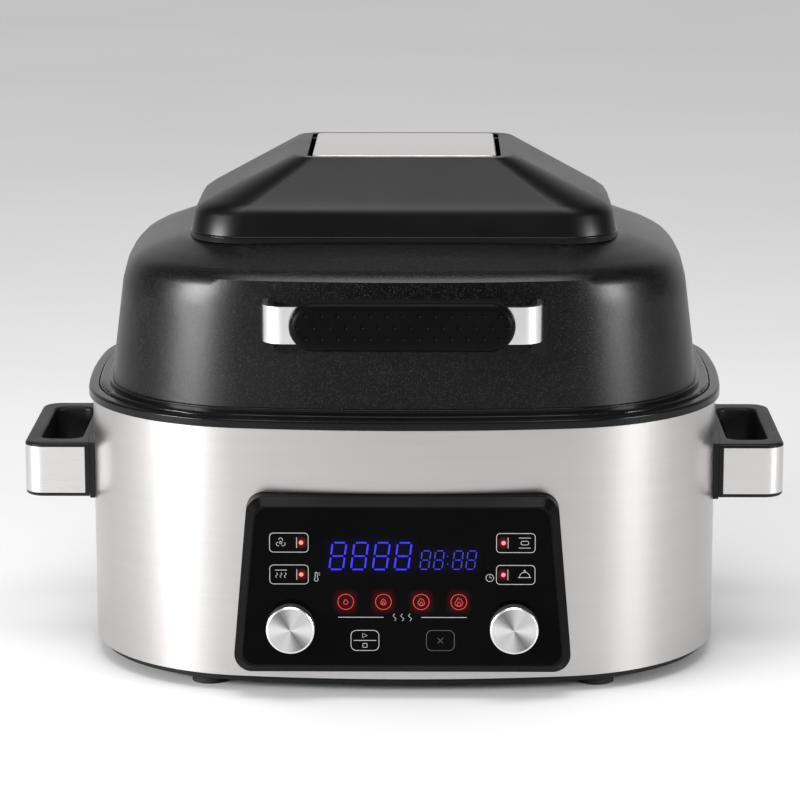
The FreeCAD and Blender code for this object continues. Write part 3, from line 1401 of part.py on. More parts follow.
def handle_bolts():
    made = body("handle_bolts")
    places = [(a + "bolt_place", "mount_bolt_level") for a in ("", "0 - ")]
    shanks = disc(made, "XZ", "bolt_tip", [(x, z, "screw_radius") for x, z in places])
    pad(made, shanks, "bolt_tip - bolt_head_seat", back=True)
    heads = disc(made, "XZ", "bolt_head_seat", [(x, z, "screw_head_radius") for x, z in places])
    pad(made, heads, "screw_head", back=True)


rubber_feet()
base_pan()
pan_screws()
steel_band()
top_rim()
inner_liner()
cooking_pot()
grill_plate()
for hand in ("left", "right"):
    side_handle(hand)
    side_flange(hand)
    side_trim(hand)
    side_screws(hand)
panel_bezel()
panel_glass()
control_board()
display_module()
for hand in ("left", "right"):
    knob_set(hand)
power_board()
cord_gland()
hinge_bracket()
hinge_screws()
hinge_cover()
hinge_pins()
for hand in ("left", "right"):
    hinge_arm(hand)
lid_trim_ring()
lid_gasket()
lid_shell()
lid_liner()
hood_base()
hood_cap()
lid_screws()
top_plate()
motor_bracket()
motor_stator()
motor_shaft()
convection_fan()
cooling_fan()
fan_nut()
heating_element()
element_clips()
fan_guard()
temperature_sensor()
lid_handle_strap()
lid_handle_grip()
for hand in ("left", "right"):
    lid_handle_mount(hand)
handle_bolts()
doc.recompute()

# Every object is sound before anything is written
for item in doc.Objects:
    faults = [state for state in item.State if state in ("Invalid", "Error")]
    if faults:
        raise RuntimeError("%s is %s" % (item.Label, ", ".join(faults)))
os.makedirs("parts", exist_ok=True)
for item in doc.Objects:
    if item.TypeId != "PartDesign::Body":
        continue
    if item.Shape.isNull() or not item.Shape.isValid() or not item.Shape.Solids:
        raise RuntimeError(item.Label + " has no sound solid")
    item.Shape.exportStep("parts/%s.step" % item.Label)
    print(item.Label, len(item.Shape.Solids), round(item.Shape.Volume, 1))
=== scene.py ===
import math

import bmesh
import bpy
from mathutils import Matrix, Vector


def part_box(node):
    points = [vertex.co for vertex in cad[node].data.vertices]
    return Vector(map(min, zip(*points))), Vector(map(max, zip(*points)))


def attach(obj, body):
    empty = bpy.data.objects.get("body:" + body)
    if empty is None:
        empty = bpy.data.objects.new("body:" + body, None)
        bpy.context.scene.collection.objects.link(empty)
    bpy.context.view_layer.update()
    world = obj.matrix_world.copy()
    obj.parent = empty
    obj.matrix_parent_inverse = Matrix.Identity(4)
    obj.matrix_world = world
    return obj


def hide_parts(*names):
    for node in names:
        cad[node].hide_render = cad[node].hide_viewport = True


# Looks of the countertop air fryer grill. Metres, front at -Y, up +Z.

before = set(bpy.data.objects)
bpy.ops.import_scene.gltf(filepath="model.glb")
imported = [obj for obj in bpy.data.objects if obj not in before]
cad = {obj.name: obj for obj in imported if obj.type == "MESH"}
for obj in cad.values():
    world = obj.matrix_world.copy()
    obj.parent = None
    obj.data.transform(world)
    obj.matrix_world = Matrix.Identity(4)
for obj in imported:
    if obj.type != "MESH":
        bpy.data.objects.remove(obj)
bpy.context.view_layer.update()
scene = bpy.context.scene
MM = 0.001
JOIN_DISTANCE = 0.004 * MM
BODY_SHARP_FROM = math.radians(28)
GRIP_SHARP_FROM = math.radians(30)


# Node helpers


def add(tree, kind, sockets=None, **settings):
    """A node with its settings, and its sockets linked or given a value."""
    made = tree.nodes.new(kind)
    for name, setting in settings.items():
        setattr(made, name, setting)
    for name, value in (sockets or {}).items():
        if isinstance(value, bpy.types.NodeSocket):
            tree.links.new(value, made.inputs[name])
        else:
            made.inputs[name].default_value = value
    return made


def math_of(tree, operation, first, second=0.0, third=0.0):
    """The result of one sum of values."""
    return add(tree, "ShaderNodeMath", {0: first, 1: second, 2: third}, operation=operation).outputs[0]


def weighed(tree, first, first_share, second, second_share):
    """Two values added by their shares."""
    return math_of(tree, "MULTIPLY_ADD", first, first_share, math_of(tree, "MULTIPLY", second, second_share))


def length_of(tree, across, up):
    """The length of a flat vector."""
    return math_of(tree, "SQRT", math_of(tree, "MULTIPLY_ADD", across, across,
                                         math_of(tree, "MULTIPLY", up, up)))


def object_place(tree):
    """The place on the surface in the object's own metres."""
    return add(tree, "ShaderNodeTexCoord").outputs["Object"]


def new_group(kind, name, inputs, outputs):
    """A node group with named sockets, and the nodes that stand for them."""
    tree = bpy.data.node_groups.new(name, kind)
    for label, socket, value in inputs:
        made = tree.interface.new_socket(label, in_out="INPUT", socket_type=socket)
        if value is not None:
            made.default_value = value
    for label, socket in outputs:
        tree.interface.new_socket(label, in_out="OUTPUT", socket_type=socket)
    return tree, tree.nodes.new("NodeGroupInput"), tree.nodes.new("NodeGroupOutput")


# Shader groups that several finishes share

BROAD_STRETCH_SHARES = (0.5, 0.5, 0.06)


def make_drawn_grain():
    """Fine lines drawn out along a direction, as rolling and brushing leave them."""
    tree, start, end = new_group(
        "ShaderNodeTree", "drawn_grain",
        [("Lines per metre", "NodeSocketVector", (40.0, 40.0, 2400.0))],
        [("Lines", "NodeSocketFloat"), ("Broad", "NodeSocketFloat")])
    spread = add(tree, "ShaderNodeVectorMath", {0: object_place(tree), 1: start.outputs[0]},
                 operation="MULTIPLY").outputs[0]
    fine = add(tree, "ShaderNodeTexNoise",
               {"Vector": spread, "Scale": 1.0, "Detail": 3.0, "Roughness": 0.6})
    wide = add(tree, "ShaderNodeVectorMath", {0: spread, 1: BROAD_STRETCH_SHARES},
               operation="MULTIPLY").outputs[0]
    broad = add(tree, "ShaderNodeTexNoise", {"Vector": wide, "Scale": 1.0, "Detail": 2.0})
    tree.links.new(fine.outputs[0], end.inputs["Lines"])
    tree.links.new(broad.outputs[0], end.inputs["Broad"])
    return tree


def make_fine_texture():
    """Moulded or sprayed texture: a soft pebble and sparse specks."""
    tree, start, end = new_group(
        "ShaderNodeTree", "fine_texture",
        [("Grains per metre", "NodeSocketFloat", 1500.0), ("Speck share", "NodeSocketFloat", 0.3)],
        [("Height", "NodeSocketFloat"), ("Specks", "NodeSocketFloat")])
    place = object_place(tree)
    pebble = add(tree, "ShaderNodeTexNoise", {"Vector": place, "Scale": start.outputs[0], "Detail": 2.0})
    cells = add(tree, "ShaderNodeTexVoronoi", {"Vector": place, "Scale": start.outputs[0]})
    pick = add(tree, "ShaderNodeSeparateColor", {0: cells.outputs["Color"]}).outputs[0]
    bright = math_of(tree, "LESS_THAN", pick, start.outputs[1])
    round_off = add(tree, "ShaderNodeMapRange",
                    {"Value": cells.outputs["Distance"], "From Min": 0.1, "From Max": 0.5,
                     "To Min": 1.0, "To Max": 0.0})
    tree.links.new(pebble.outputs[0], end.inputs["Height"])
    tree.links.new(math_of(tree, "MULTIPLY", bright, round_off.outputs[0]), end.inputs["Specks"])
    return tree


def make_handling():
    """Broad faint patches, as wiping and handling leave on a surface."""
    tree, start, end = new_group(
        "ShaderNodeTree", "handling_marks",
        [("Patches per metre", "NodeSocketFloat", 14.0)], [("Patches", "NodeSocketFloat")])
    cloud = add(tree, "ShaderNodeTexNoise",
                {"Vector": object_place(tree), "Scale": start.outputs[0], "Detail": 4.0,
                 "Roughness": 0.55, "Distortion": 0.6})
    soft = add(tree, "ShaderNodeMapRange",
               {"Value": cloud.outputs[0], "From Min": 0.3, "From Max": 0.7})
    tree.links.new(soft.outputs[0], end.inputs["Patches"])
    return tree


DRAWN_GRAIN = make_drawn_grain()
FINE_TEXTURE = make_fine_texture()
HANDLING = make_handling()


# Finishes

METAL_PATCHES = 9.0
METAL_TONE_SHARES = {"lines": 0.7, "broad": 0.3}
METAL_GLOSS_SHARES = {"patches": 0.25, "lines": 0.75}
LINE_DEPTH = 0.02 * MM
PLASTIC_PATCHES = 16.0
PLASTIC_TONE_SHARES = {"patches": 0.6, "pebble": 0.4}
LAMP_PATCHES = 260.0
LAMP_DIM_SHARE = 0.75
GLASS_PATCHES = 22.0
FLOOR_PATCHES = 1.2


def use_group(tree, group, **values):
    """A shared group placed in a finish with its own values, words joined by an underscore."""
    made = add(tree, "ShaderNodeGroup", node_tree=group)
    for name, value in values.items():
        made.inputs[name.replace("_", " ")].default_value = value
    return made.outputs


def patches_of(tree, patches):
    """How far each place is marked by handling."""
    return use_group(tree, HANDLING, Patches_per_metre=patches)["Patches"]


def new_finish(name, **constants):
    """A material with the shader's plain numbers set on its own sockets."""
    made = bpy.data.materials.new(name)
    made.use_nodes = True
    shader = made.node_tree.nodes["Principled BSDF"]
    for socket, value in constants.items():
        shader.inputs[socket.replace("_", " ")].default_value = value
    return made, made.node_tree, shader


def between(tree, share, low, high):
    """A value that a share moves from low to high."""
    return add(tree, "ShaderNodeMapRange", {"Value": share, "To Min": low, "To Max": high}).outputs[0]


def grey(tone):
    """A colour without a hue."""
    return (tone, tone, tone)


def mixed(tree, share, low, high):
    """A colour that a share moves from low to high."""
    made = add(tree, "ShaderNodeMix", data_type="RGBA")
    for index, value in ((0, share), (6, low), (7, high)):
        if isinstance(value, bpy.types.NodeSocket):
            tree.links.new(value, made.inputs[index])
        else:
            made.inputs[index].default_value = value if index == 0 else (*value, 1.0)
    return made.outputs[2]


def feed(tree, shader, **sources):
    """Sockets of the shader linked to what changes over the surface."""
    for socket, source in sources.items():
        tree.links.new(source, shader.inputs[socket.replace("_", " ")])


def bumped(tree, shader, height, strength, distance):
    """Relief on the shader from a height."""
    made = add(tree, "ShaderNodeBump", {"Height": height, "Strength": strength, "Distance": distance})
    tree.links.new(made.outputs[0], shader.inputs["Normal"])


def drawn_metal(name, dark, light, rough, lines, strength=0.25):
    """Metal with fine drawn lines that change its tone and gloss."""
    made, tree, shader = new_finish(name, Metallic=1.0)
    grain = use_group(tree, DRAWN_GRAIN, Lines_per_metre=lines)
    patches = patches_of(tree, METAL_PATCHES)
    tone = weighed(tree, grain["Lines"], METAL_TONE_SHARES["lines"],
                   grain["Broad"], METAL_TONE_SHARES["broad"])
    gloss = weighed(tree, patches, METAL_GLOSS_SHARES["patches"],
                    grain["Lines"], METAL_GLOSS_SHARES["lines"])
    feed(tree, shader, Base_Color=mixed(tree, tone, dark, light), Roughness=between(tree, gloss, *rough))
    bumped(tree, shader, grain["Lines"], strength, LINE_DEPTH)
    return made


def moulded(name, dark, light, rough, grains, depth, specks=0.0, speck_colour=grey(0.2), speck_share=0.2,
            **constants):
    """Plastic, rubber or sprayed paint: pebbled, with faint patches and where wanted bright specks."""
    made, tree, shader = new_finish(name, **constants)
    texture = use_group(tree, FINE_TEXTURE, Grains_per_metre=grains, Speck_share=speck_share)
    patches = patches_of(tree, PLASTIC_PATCHES)
    tone = weighed(tree, patches, PLASTIC_TONE_SHARES["patches"],
                   texture["Height"], PLASTIC_TONE_SHARES["pebble"])
    colour = mixed(tree, tone, dark, light)
    if specks:
        colour = mixed(tree, math_of(tree, "MULTIPLY", texture["Specks"], specks), colour, speck_colour)
    feed(tree, shader, Base_Color=colour, Roughness=between(tree, patches, *rough))
    bumped(tree, shader, texture["Height"], 1.0, depth * MM)
    return made


# The knob face's colour is painted highlight and painted shade in sectors round its middle, and its rim is a
# painted highlight ring.
SPUN_PAINTED_SHADE, SPUN_PAINTED_HIGHLIGHT, SPUN_RIM_PAINTED_HIGHLIGHT = grey(0.05), grey(0.84), grey(0.92)
SPUN_ROUGH = (0.2, 0.42)
SPUN_RIM_FROM, SPUN_RIM_TO = 12.9 * MM, 13.1 * MM
SPUN_RINGS = 4200.0
SPUN_STREAKS = 14.0
SPUN_RELIEF = 0.3
SPUN_HIGHLIGHT_TWO_FOLD = {"folds": 2.0, "turn": -0.9, "share": 0.3, "middle": 0.5}
SPUN_HIGHLIGHT_FOUR_FOLD = {"folds": 4.0, "turn": 0.6, "share": 0.22}
SPUN_TONE_SHARES = {"streaks": 0.35, "highlight_sectors": 0.8}


def spun_face_painted_highlight(name, middle):
    """Metal turned on a lathe: rings, with a painted highlight and painted shade that turn with the angle and
    a painted highlight ring at the rim, about the knob's own middle.
    """
    made, tree, shader = new_finish(name, Metallic=1.0)
    own = add(tree, "ShaderNodeMapping",
              {"Vector": object_place(tree), "Location": tuple(-part for part in middle)},
              vector_type="POINT").outputs[0]
    parts = add(tree, "ShaderNodeSeparateXYZ", {0: own}).outputs
    angle = math_of(tree, "ARCTAN2", parts["Z"], parts["X"])
    reach = length_of(tree, parts["X"], parts["Z"])
    # Painted highlight and shade: two- and four-fold waves round the middle, with streaks along the angle.
    twice, four = [math_of(tree, "COSINE", math_of(tree, "MULTIPLY_ADD", angle, wave["folds"], wave["turn"]))
                   for wave in (SPUN_HIGHLIGHT_TWO_FOLD, SPUN_HIGHLIGHT_FOUR_FOLD)]
    highlight_sectors = math_of(tree, "MULTIPLY_ADD", twice, SPUN_HIGHLIGHT_TWO_FOLD["share"], SPUN_HIGHLIGHT_TWO_FOLD["middle"])
    highlight_sectors = math_of(tree, "MULTIPLY_ADD", four, SPUN_HIGHLIGHT_FOUR_FOLD["share"], highlight_sectors)
    around = add(tree, "ShaderNodeCombineXYZ",
                 {0: math_of(tree, "COSINE", angle), 1: math_of(tree, "SINE", angle)}).outputs[0]
    streaks = add(tree, "ShaderNodeTexNoise",
                  {"Vector": around, "Scale": SPUN_STREAKS, "Detail": 4.0, "Roughness": 0.7})
    ring_place = add(tree, "ShaderNodeCombineXYZ",
                     {0: math_of(tree, "MULTIPLY", reach, SPUN_RINGS)}).outputs[0]
    rings = add(tree, "ShaderNodeTexNoise", {"Vector": ring_place, "Scale": 1.0, "Detail": 2.0})
    tone = weighed(tree, streaks.outputs[0], SPUN_TONE_SHARES["streaks"],
                   highlight_sectors, SPUN_TONE_SHARES["highlight_sectors"])
    # The bright ring at the rim is a painted highlight of the chamfer.
    rim = add(tree, "ShaderNodeMapRange",
              {"Value": reach, "From Min": SPUN_RIM_FROM, "From Max": SPUN_RIM_TO}).outputs[0]
    face = mixed(tree, tone, SPUN_PAINTED_SHADE, SPUN_PAINTED_HIGHLIGHT)
    feed(tree, shader, Base_Color=mixed(tree, rim, face, SPUN_RIM_PAINTED_HIGHLIGHT),
         Roughness=between(tree, rings.outputs[0], *SPUN_ROUGH))
    bumped(tree, shader, rings.outputs[0], SPUN_RELIEF, LINE_DEPTH)
    return made


def lamp_light(name, colour, strength):
    """A lit mark whose brightness varies a little over it."""
    made, tree, shader = new_finish(name, Roughness=0.4, Emission_Strength=strength,
                                    Base_Color=(*grey(0.01), 1.0))
    dim = tuple(LAMP_DIM_SHARE * part for part in colour)
    feed(tree, shader, Emission_Color=mixed(tree, patches_of(tree, LAMP_PATCHES), dim, colour))
    return made


# Tones are linear, lines and grains are counted per metre, and depths are in millimetres.

BAND_STEEL = drawn_metal(
    "band_brushed_steel", dark=(0.454, 0.441, 0.437), light=(0.554, 0.542, 0.538), rough=(0.26, 0.34),
    lines=(22.0, 22.0, 3400.0), strength=0.12)
TRIM_STEEL = drawn_metal(
    "trim_brushed_steel", dark=(0.56, 0.55, 0.545), light=(0.68, 0.67, 0.665), rough=(0.22, 0.3),
    lines=(22.0, 22.0, 3400.0), strength=0.12)
PLATE_STEEL = drawn_metal(
    "plate_brushed_steel", dark=(0.66, 0.64, 0.635), light=(0.78, 0.76, 0.755), rough=(0.3, 0.4),
    lines=(30.0, 2600.0, 30.0))
STRAP_STEEL = drawn_metal(
    "strap_satin_steel", dark=grey(0.7), light=grey(0.8), rough=(0.18, 0.26),
    lines=(60.0, 60.0, 1800.0), strength=0.1)
SHEET_STEEL = drawn_metal(
    "liner_sheet_steel", dark=(0.5, 0.5, 0.49), light=(0.66, 0.66, 0.65), rough=(0.3, 0.45),
    lines=(90.0, 90.0, 900.0))
FASTENER_STEEL = drawn_metal(
    "fastener_zinc", dark=grey(0.42), light=grey(0.6), rough=(0.3, 0.45), lines=(700.0, 700.0, 700.0))
ELEMENT_STEEL = drawn_metal(
    "element_sheath", dark=(0.08, 0.075, 0.07), light=(0.2, 0.17, 0.15), rough=(0.4, 0.6),
    lines=(240.0, 240.0, 900.0))
FAN_METAL = drawn_metal(
    "fan_aluminium", dark=(0.58, 0.58, 0.59), light=(0.74, 0.74, 0.75), rough=(0.3, 0.45),
    lines=(500.0, 60.0, 500.0))
BRASS = drawn_metal(
    "plain_brass", dark=(0.5, 0.36, 0.14), light=(0.68, 0.52, 0.24), rough=(0.25, 0.4),
    lines=(400.0, 400.0, 1200.0))
BLACK_PLASTIC = moulded(
    "fine_black_plastic", dark=(0.005, 0.005, 0.0055), light=(0.009, 0.009, 0.0095), rough=(0.36, 0.46),
    grains=1600.0, depth=0.03, Specular_IOR_Level=0.16)
GLOSS_BLACK = moulded(
    "gloss_black_plastic", dark=(0.003, 0.003, 0.0035), light=(0.006, 0.006, 0.0065), rough=(0.16, 0.24),
    grains=900.0, depth=0.004, Specular_IOR_Level=0.15)
BEZEL_BLACK = moulded(
    "panel_frame_black", dark=grey(0.002), light=grey(0.004), rough=(0.24, 0.32),
    grains=1100.0, depth=0.006, Specular_IOR_Level=0.06)
LID_BLACK = moulded(
    "lid_metallic_black", dark=(0.0012, 0.0012, 0.0014), light=(0.002, 0.002, 0.0022), rough=(0.3, 0.35),
    grains=1500.0, depth=0.055, specks=0.85, speck_colour=grey(0.04), speck_share=0.35,
    Specular_IOR_Level=0.34)
HOOD_BLACK = moulded(
    "hood_soft_black", dark=grey(0.0015), light=grey(0.0025), rough=(0.33, 0.39),
    grains=2400.0, depth=0.012, Specular_IOR_Level=0.26)
GRIP_BLACK = moulded(
    "grip_black", dark=grey(0.001), light=grey(0.002), rough=(0.36, 0.44),
    grains=2000.0, depth=0.01, Specular_IOR_Level=0.06)
RUBBER = moulded(
    "foot_rubber", dark=grey(0.008), light=grey(0.014), rough=(0.65, 0.8),
    grains=1100.0, depth=0.06, Specular_IOR_Level=0.3)
SILICONE = moulded(
    "gasket_silicone", dark=(0.16, 0.16, 0.165), light=(0.22, 0.22, 0.225), rough=(0.45, 0.55),
    grains=900.0, depth=0.02)
POT_COATING = moulded(
    "pot_speckled_coating", dark=(0.012, 0.012, 0.0125), light=(0.02, 0.02, 0.0205), rough=(0.3, 0.4),
    grains=700.0, depth=0.02, specks=0.8, speck_colour=grey(0.35), speck_share=0.05,
    Specular_IOR_Level=0.35)
GRILL_COATING = moulded(
    "grill_coating", dark=(0.01, 0.01, 0.0105), light=(0.017, 0.017, 0.0175), rough=(0.32, 0.44),
    grains=900.0, depth=0.03, Specular_IOR_Level=0.35)
ARM_PAINT = moulded(
    "arm_satin_paint", dark=(0.006, 0.006, 0.0065), light=(0.01, 0.01, 0.0105), rough=(0.3, 0.4),
    grains=1400.0, depth=0.02, Specular_IOR_Level=0.3)
BOARD_GREEN = moulded(
    "board_solder_mask", dark=(0.008, 0.06, 0.025), light=(0.012, 0.09, 0.04), rough=(0.25, 0.35),
    grains=600.0, depth=0.01)
MOTOR_PAINT = moulded(
    "motor_lacquer", dark=(0.08, 0.08, 0.085), light=(0.13, 0.13, 0.135), rough=(0.35, 0.5),
    grains=700.0, depth=0.03)
DISPLAY_GREY = moulded(
    "display_housing", dark=grey(0.3), light=grey(0.38), rough=(0.4, 0.5), grains=900.0, depth=0.02)

PRINT_WHITE = lamp_light("print_white", colour=grey(0.7), strength=0.95)
PRINT_DIM = lamp_light("print_dim", colour=grey(0.2), strength=0.4)
DIGIT_BLUE = lamp_light("digit_blue", colour=(0.008, 0.002, 0.8), strength=1.1)
DIGIT_DIM_BLUE = lamp_light("digit_dim_blue", colour=(0.007, 0.002, 0.5), strength=1.1)
FLAME_RED = lamp_light("flame_red", colour=(0.85, 0.05, 0.05), strength=1.0)
LAMP_PINK = lamp_light("lamp_pink", colour=(1.0, 0.3, 0.3), strength=1.2)

GLASS_DARK, GLASS_LIGHT = (0.0008, 0.0008, 0.001), (0.0014, 0.0014, 0.0016)
GLASS_ROUGH = (0.05, 0.1)


def past_edge(tree, place, middle, half):
    """How far a place lies past the edge of a span, zero inside it."""
    away = math_of(tree, "ABSOLUTE", math_of(tree, "SUBTRACT", place, middle * MM))
    return math_of(tree, "MAXIMUM", math_of(tree, "SUBTRACT", away, half * MM), 0.0)


def make_panel_glass(glows):
    """Gloss black glass with a faint glow round the lit marks behind it."""
    made, tree, shader = new_finish("panel_black_glass", Specular_IOR_Level=0.03, Emission_Strength=1.0)
    patches = patches_of(tree, GLASS_PATCHES)
    feed(tree, shader, Base_Color=mixed(tree, patches, GLASS_DARK, GLASS_LIGHT),
         Roughness=between(tree, patches, *GLASS_ROUGH))
    parts = add(tree, "ShaderNodeSeparateXYZ", {0: object_place(tree)}).outputs
    total = None
    for (x, z), half_width, half_height, reach, colour in glows:
        away = length_of(tree, past_edge(tree, parts["X"], x, half_width),
                         past_edge(tree, parts["Z"], z, half_height))
        near = add(tree, "ShaderNodeMapRange",
                   {"Value": away, "From Max": reach * MM, "To Min": 1.0, "To Max": 0.0},
                   interpolation_type="SMOOTHSTEP").outputs[0]
        tint = mixed(tree, near, grey(0.0), colour)
        if total is not None:
            tint = add(tree, "ShaderNodeVectorMath", {0: total, 1: tint}, operation="ADD").outputs[0]
        total = tint
    feed(tree, shader, Emission_Color=total)
    return made


# Geometry node helpers


def new_growth(name, inputs):
    """An empty geometry tree with a mesh coming in and a mesh going out."""
    return new_group("GeometryNodeTree", name, [("Geometry", "NodeSocketGeometry", None)] + inputs,
                     [("Geometry", "NodeSocketGeometry")])


def close_growth(tree, start, end, geometry):
    """The end that every growth has: real copies, then the finish."""
    real = add(tree, "GeometryNodeRealizeInstances", {"Geometry": geometry}).outputs[0]
    dressed = add(tree, "GeometryNodeSetMaterial",
                  {"Geometry": real, "Material": start.outputs["Finish"]}).outputs[0]
    tree.links.new(dressed, end.inputs[0])
    return tree


def smoothed(tree, geometry, sharp_from):
    """A mesh shaded smooth but for the edges sharper than an angle."""
    smooth = add(tree, "GeometryNodeSetShadeSmooth",
                 {"Geometry": geometry, "Shade Smooth": True}).outputs[0]
    angle = add(tree, "GeometryNodeInputMeshEdgeAngle").outputs["Unsigned Angle"]
    sharp = add(tree, "FunctionNodeCompare", {0: angle, 1: sharp_from},
                operation="GREATER_THAN", data_type="FLOAT").outputs[0]
    return add(tree, "GeometryNodeSetShadeSmooth",
               {"Geometry": smooth, "Selection": sharp, "Shade Smooth": False}, domain="EDGE").outputs[0]


def flattened(tree, start, geometry):
    """A shape pressed flat by the tree's flatness."""
    flat = add(tree, "ShaderNodeCombineXYZ", {0: 1.0, 1: 1.0, 2: start.outputs["Flatness"]}).outputs[0]
    return add(tree, "GeometryNodeTransform", {"Geometry": geometry, "Scale": flat}).outputs[0]


def stood_up(tree, start, geometry):
    """A flat drawing stood upright on the front of the panel."""
    front = add(tree, "ShaderNodeCombineXYZ", {1: start.outputs["Front"]}).outputs[0]
    return add(tree, "GeometryNodeTransform",
               {"Geometry": geometry, "Translation": front, "Rotation": (math.pi / 2, 0.0, 0.0)}).outputs[0]


def show(name, mesh):
    """An object at the origin that shows a mesh."""
    made = bpy.data.objects.new(name, mesh)
    scene.collection.objects.link(made)
    return made


def grow(name, mesh, tree, **values):
    """A plain mesh piece grown by a tree from a base mesh, words of the inputs joined by an underscore."""
    source = show(name + "_source", mesh)
    modifier = source.modifiers.new(name, "NODES")
    modifier.node_group = tree
    wanted = {label.replace("_", " "): value for label, value in values.items()}
    for item in tree.interface.items_tree:
        if item.in_out == "INPUT" and item.name in wanted:
            modifier[item.identifier] = wanted[item.name]
    graph = bpy.context.evaluated_depsgraph_get()
    made = bpy.data.meshes.new_from_object(source.evaluated_get(graph), preserve_all_data_layers=True,
                                           depsgraph=graph)
    bpy.data.objects.remove(source)
    made.name = name
    return show(name, made)


def make_rounding():
    """Joins a node's loose triangles and smooths what isn't a sharp edge."""
    tree, start, end = new_growth("join_and_smooth", [("Sharp from", "NodeSocketFloat", BODY_SHARP_FROM)])
    joined = add(tree, "GeometryNodeMergeByDistance",
                 {"Geometry": start.outputs[0], "Distance": JOIN_DISTANCE}).outputs[0]
    tree.links.new(smoothed(tree, joined, start.outputs["Sharp from"]), end.inputs[0])
    return tree


def make_printed_line():
    """Strokes along the edges of a flat drawing, laid on the front of the panel."""
    tree, start, end = new_growth("printed_line", [
        ("Stroke", "NodeSocketFloat", 0.5 * MM), ("Flatness", "NodeSocketFloat", 0.2),
        ("Front", "NodeSocketFloat", 0.0), ("Finish", "NodeSocketMaterial", None)])
    path = add(tree, "GeometryNodeMeshToCurve", {"Mesh": start.outputs[0]}).outputs[0]
    half = math_of(tree, "MULTIPLY", start.outputs["Stroke"], 0.5)
    section = add(tree, "GeometryNodeCurvePrimitiveCircle", {"Resolution": 6, "Radius": half}).outputs[0]
    stroke = add(tree, "GeometryNodeCurveToMesh",
                 {"Curve": path, "Profile Curve": section, "Fill Caps": True}).outputs[0]
    return close_growth(tree, start, end, stood_up(tree, start, flattened(tree, start, stroke)))


def make_lamp_dots():
    """A small domed lamp on each point of a flat drawing, on the front of the panel."""
    tree, start, end = new_growth("lamp_dots", [
        ("Radius", "NodeSocketFloat", 1.3 * MM), ("Flatness", "NodeSocketFloat", 0.1),
        ("Front", "NodeSocketFloat", 0.0), ("Finish", "NodeSocketMaterial", None)])
    lamp = add(tree, "GeometryNodeMeshUVSphere",
               {"Segments": 20, "Rings": 8, "Radius": start.outputs["Radius"]}).outputs[0]
    placed = add(tree, "GeometryNodeInstanceOnPoints",
                 {"Points": start.outputs[0], "Instance": flattened(tree, start, lamp)}).outputs[0]
    return close_growth(tree, start, end, stood_up(tree, start, placed))


def make_dimples():
    """Rows of round pits sunk into the front of the grip, the middle row one longer and half a pitch over."""
    tree, start, end = new_growth("grip_dimples", [
        ("Columns", "NodeSocketInt", 13), ("Pitch", "NodeSocketFloat", 9.2 * MM),
        ("Row gap", "NodeSocketFloat", 6.6 * MM), ("Pit radius", "NodeSocketFloat", 1.6 * MM),
        ("Front", "NodeSocketFloat", 0.0), ("Level", "NodeSocketFloat", 0.0),
        ("Sink", "NodeSocketFloat", 0.9 * MM), ("Finish", "NodeSocketMaterial", None)])
    given = start.outputs
    step = add(tree, "ShaderNodeCombineXYZ", {0: given["Pitch"]}).outputs[0]
    depth = math_of(tree, "SUBTRACT", given["Front"],
                    math_of(tree, "SUBTRACT", given["Pit radius"], given["Sink"]))
    rows = add(tree, "GeometryNodeJoinGeometry")
    for rows_up, extra in ((1.0, 0.0), (0.0, 1.0), (-1.0, 0.0)):
        count = math_of(tree, "ADD", given["Columns"], extra)
        half_steps = math_of(tree, "MULTIPLY", math_of(tree, "SUBTRACT", count, 1.0), -0.5)
        first = math_of(tree, "MULTIPLY", half_steps, given["Pitch"])
        level = math_of(tree, "MULTIPLY_ADD", given["Row gap"], rows_up, given["Level"])
        origin = add(tree, "ShaderNodeCombineXYZ", {0: first, 1: depth, 2: level}).outputs[0]
        line = add(tree, "GeometryNodeMeshLine",
                   {"Count": count, "Start Location": origin, "Offset": step}).outputs[0]
        tree.links.new(line, rows.inputs[0])
    ball = add(tree, "GeometryNodeMeshIcoSphere",
               {"Radius": given["Pit radius"], "Subdivisions": 3}).outputs[0]
    balls = add(tree, "GeometryNodeInstanceOnPoints",
                {"Points": rows.outputs[0], "Instance": ball}).outputs[0]
    real = add(tree, "GeometryNodeRealizeInstances", {"Geometry": balls}).outputs[0]
    sunk = add(tree, "GeometryNodeMeshBoolean", {"Mesh 1": given["Geometry"], "Mesh 2": real},
               operation="DIFFERENCE", solver="EXACT").outputs[0]
    return close_growth(tree, start, end, smoothed(tree, sunk, GRIP_SHARP_FROM))


ROUNDING = make_rounding()
PRINTED_LINE = make_printed_line()
LAMP_DOTS = make_lamp_dots()
DIMPLES = make_dimples()


# Places on the panel, in millimetres from the middle of the panel and the table

UPPER_ROW = 95.4
LOWER_ROW = 76.3
FLAME_ROW = 59.9
RULE_ROW = 50.6
START_ROW = 36.6
FLAME_PLACES = [(x, FLAME_ROW) for x in (-32.9, -11.0, 11.0, 32.9)]
LAMP_COLUMN = 58.7
LAMP_PLACES = [(side * LAMP_COLUMN, row) for side in (-1, 1) for row in (UPPER_ROW, LOWER_ROW)]

# Each glow has its middle, half its width and height, how far it fades, and its colour.

GLOWS = [(place, 3.0, 3.0, 5.5, (0.045, 0.002, 0.002)) for place in FLAME_PLACES]
GLOWS += [(place, 0.5, 0.5, 4.0, (0.12, 0.008, 0.008)) for place in LAMP_PLACES]
GLOWS += [((-18.6, 87.4), 22.0, 6.5, 7.0, (0.001, 0.001, 0.016)),
          ((26.4, 85.1), 15.0, 4.5, 6.0, (0.001, 0.001, 0.009))]


# Finishes on the solid nodes

KNOB_MIDDLE = {side: tuple(sum(ends) / 2 for ends in zip(*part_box(side + "_knob_cap")))
               for side in ("left", "right")}
GLASS_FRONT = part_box("panel_glass")[0].y
PANEL_GLASS = make_panel_glass(GLOWS)

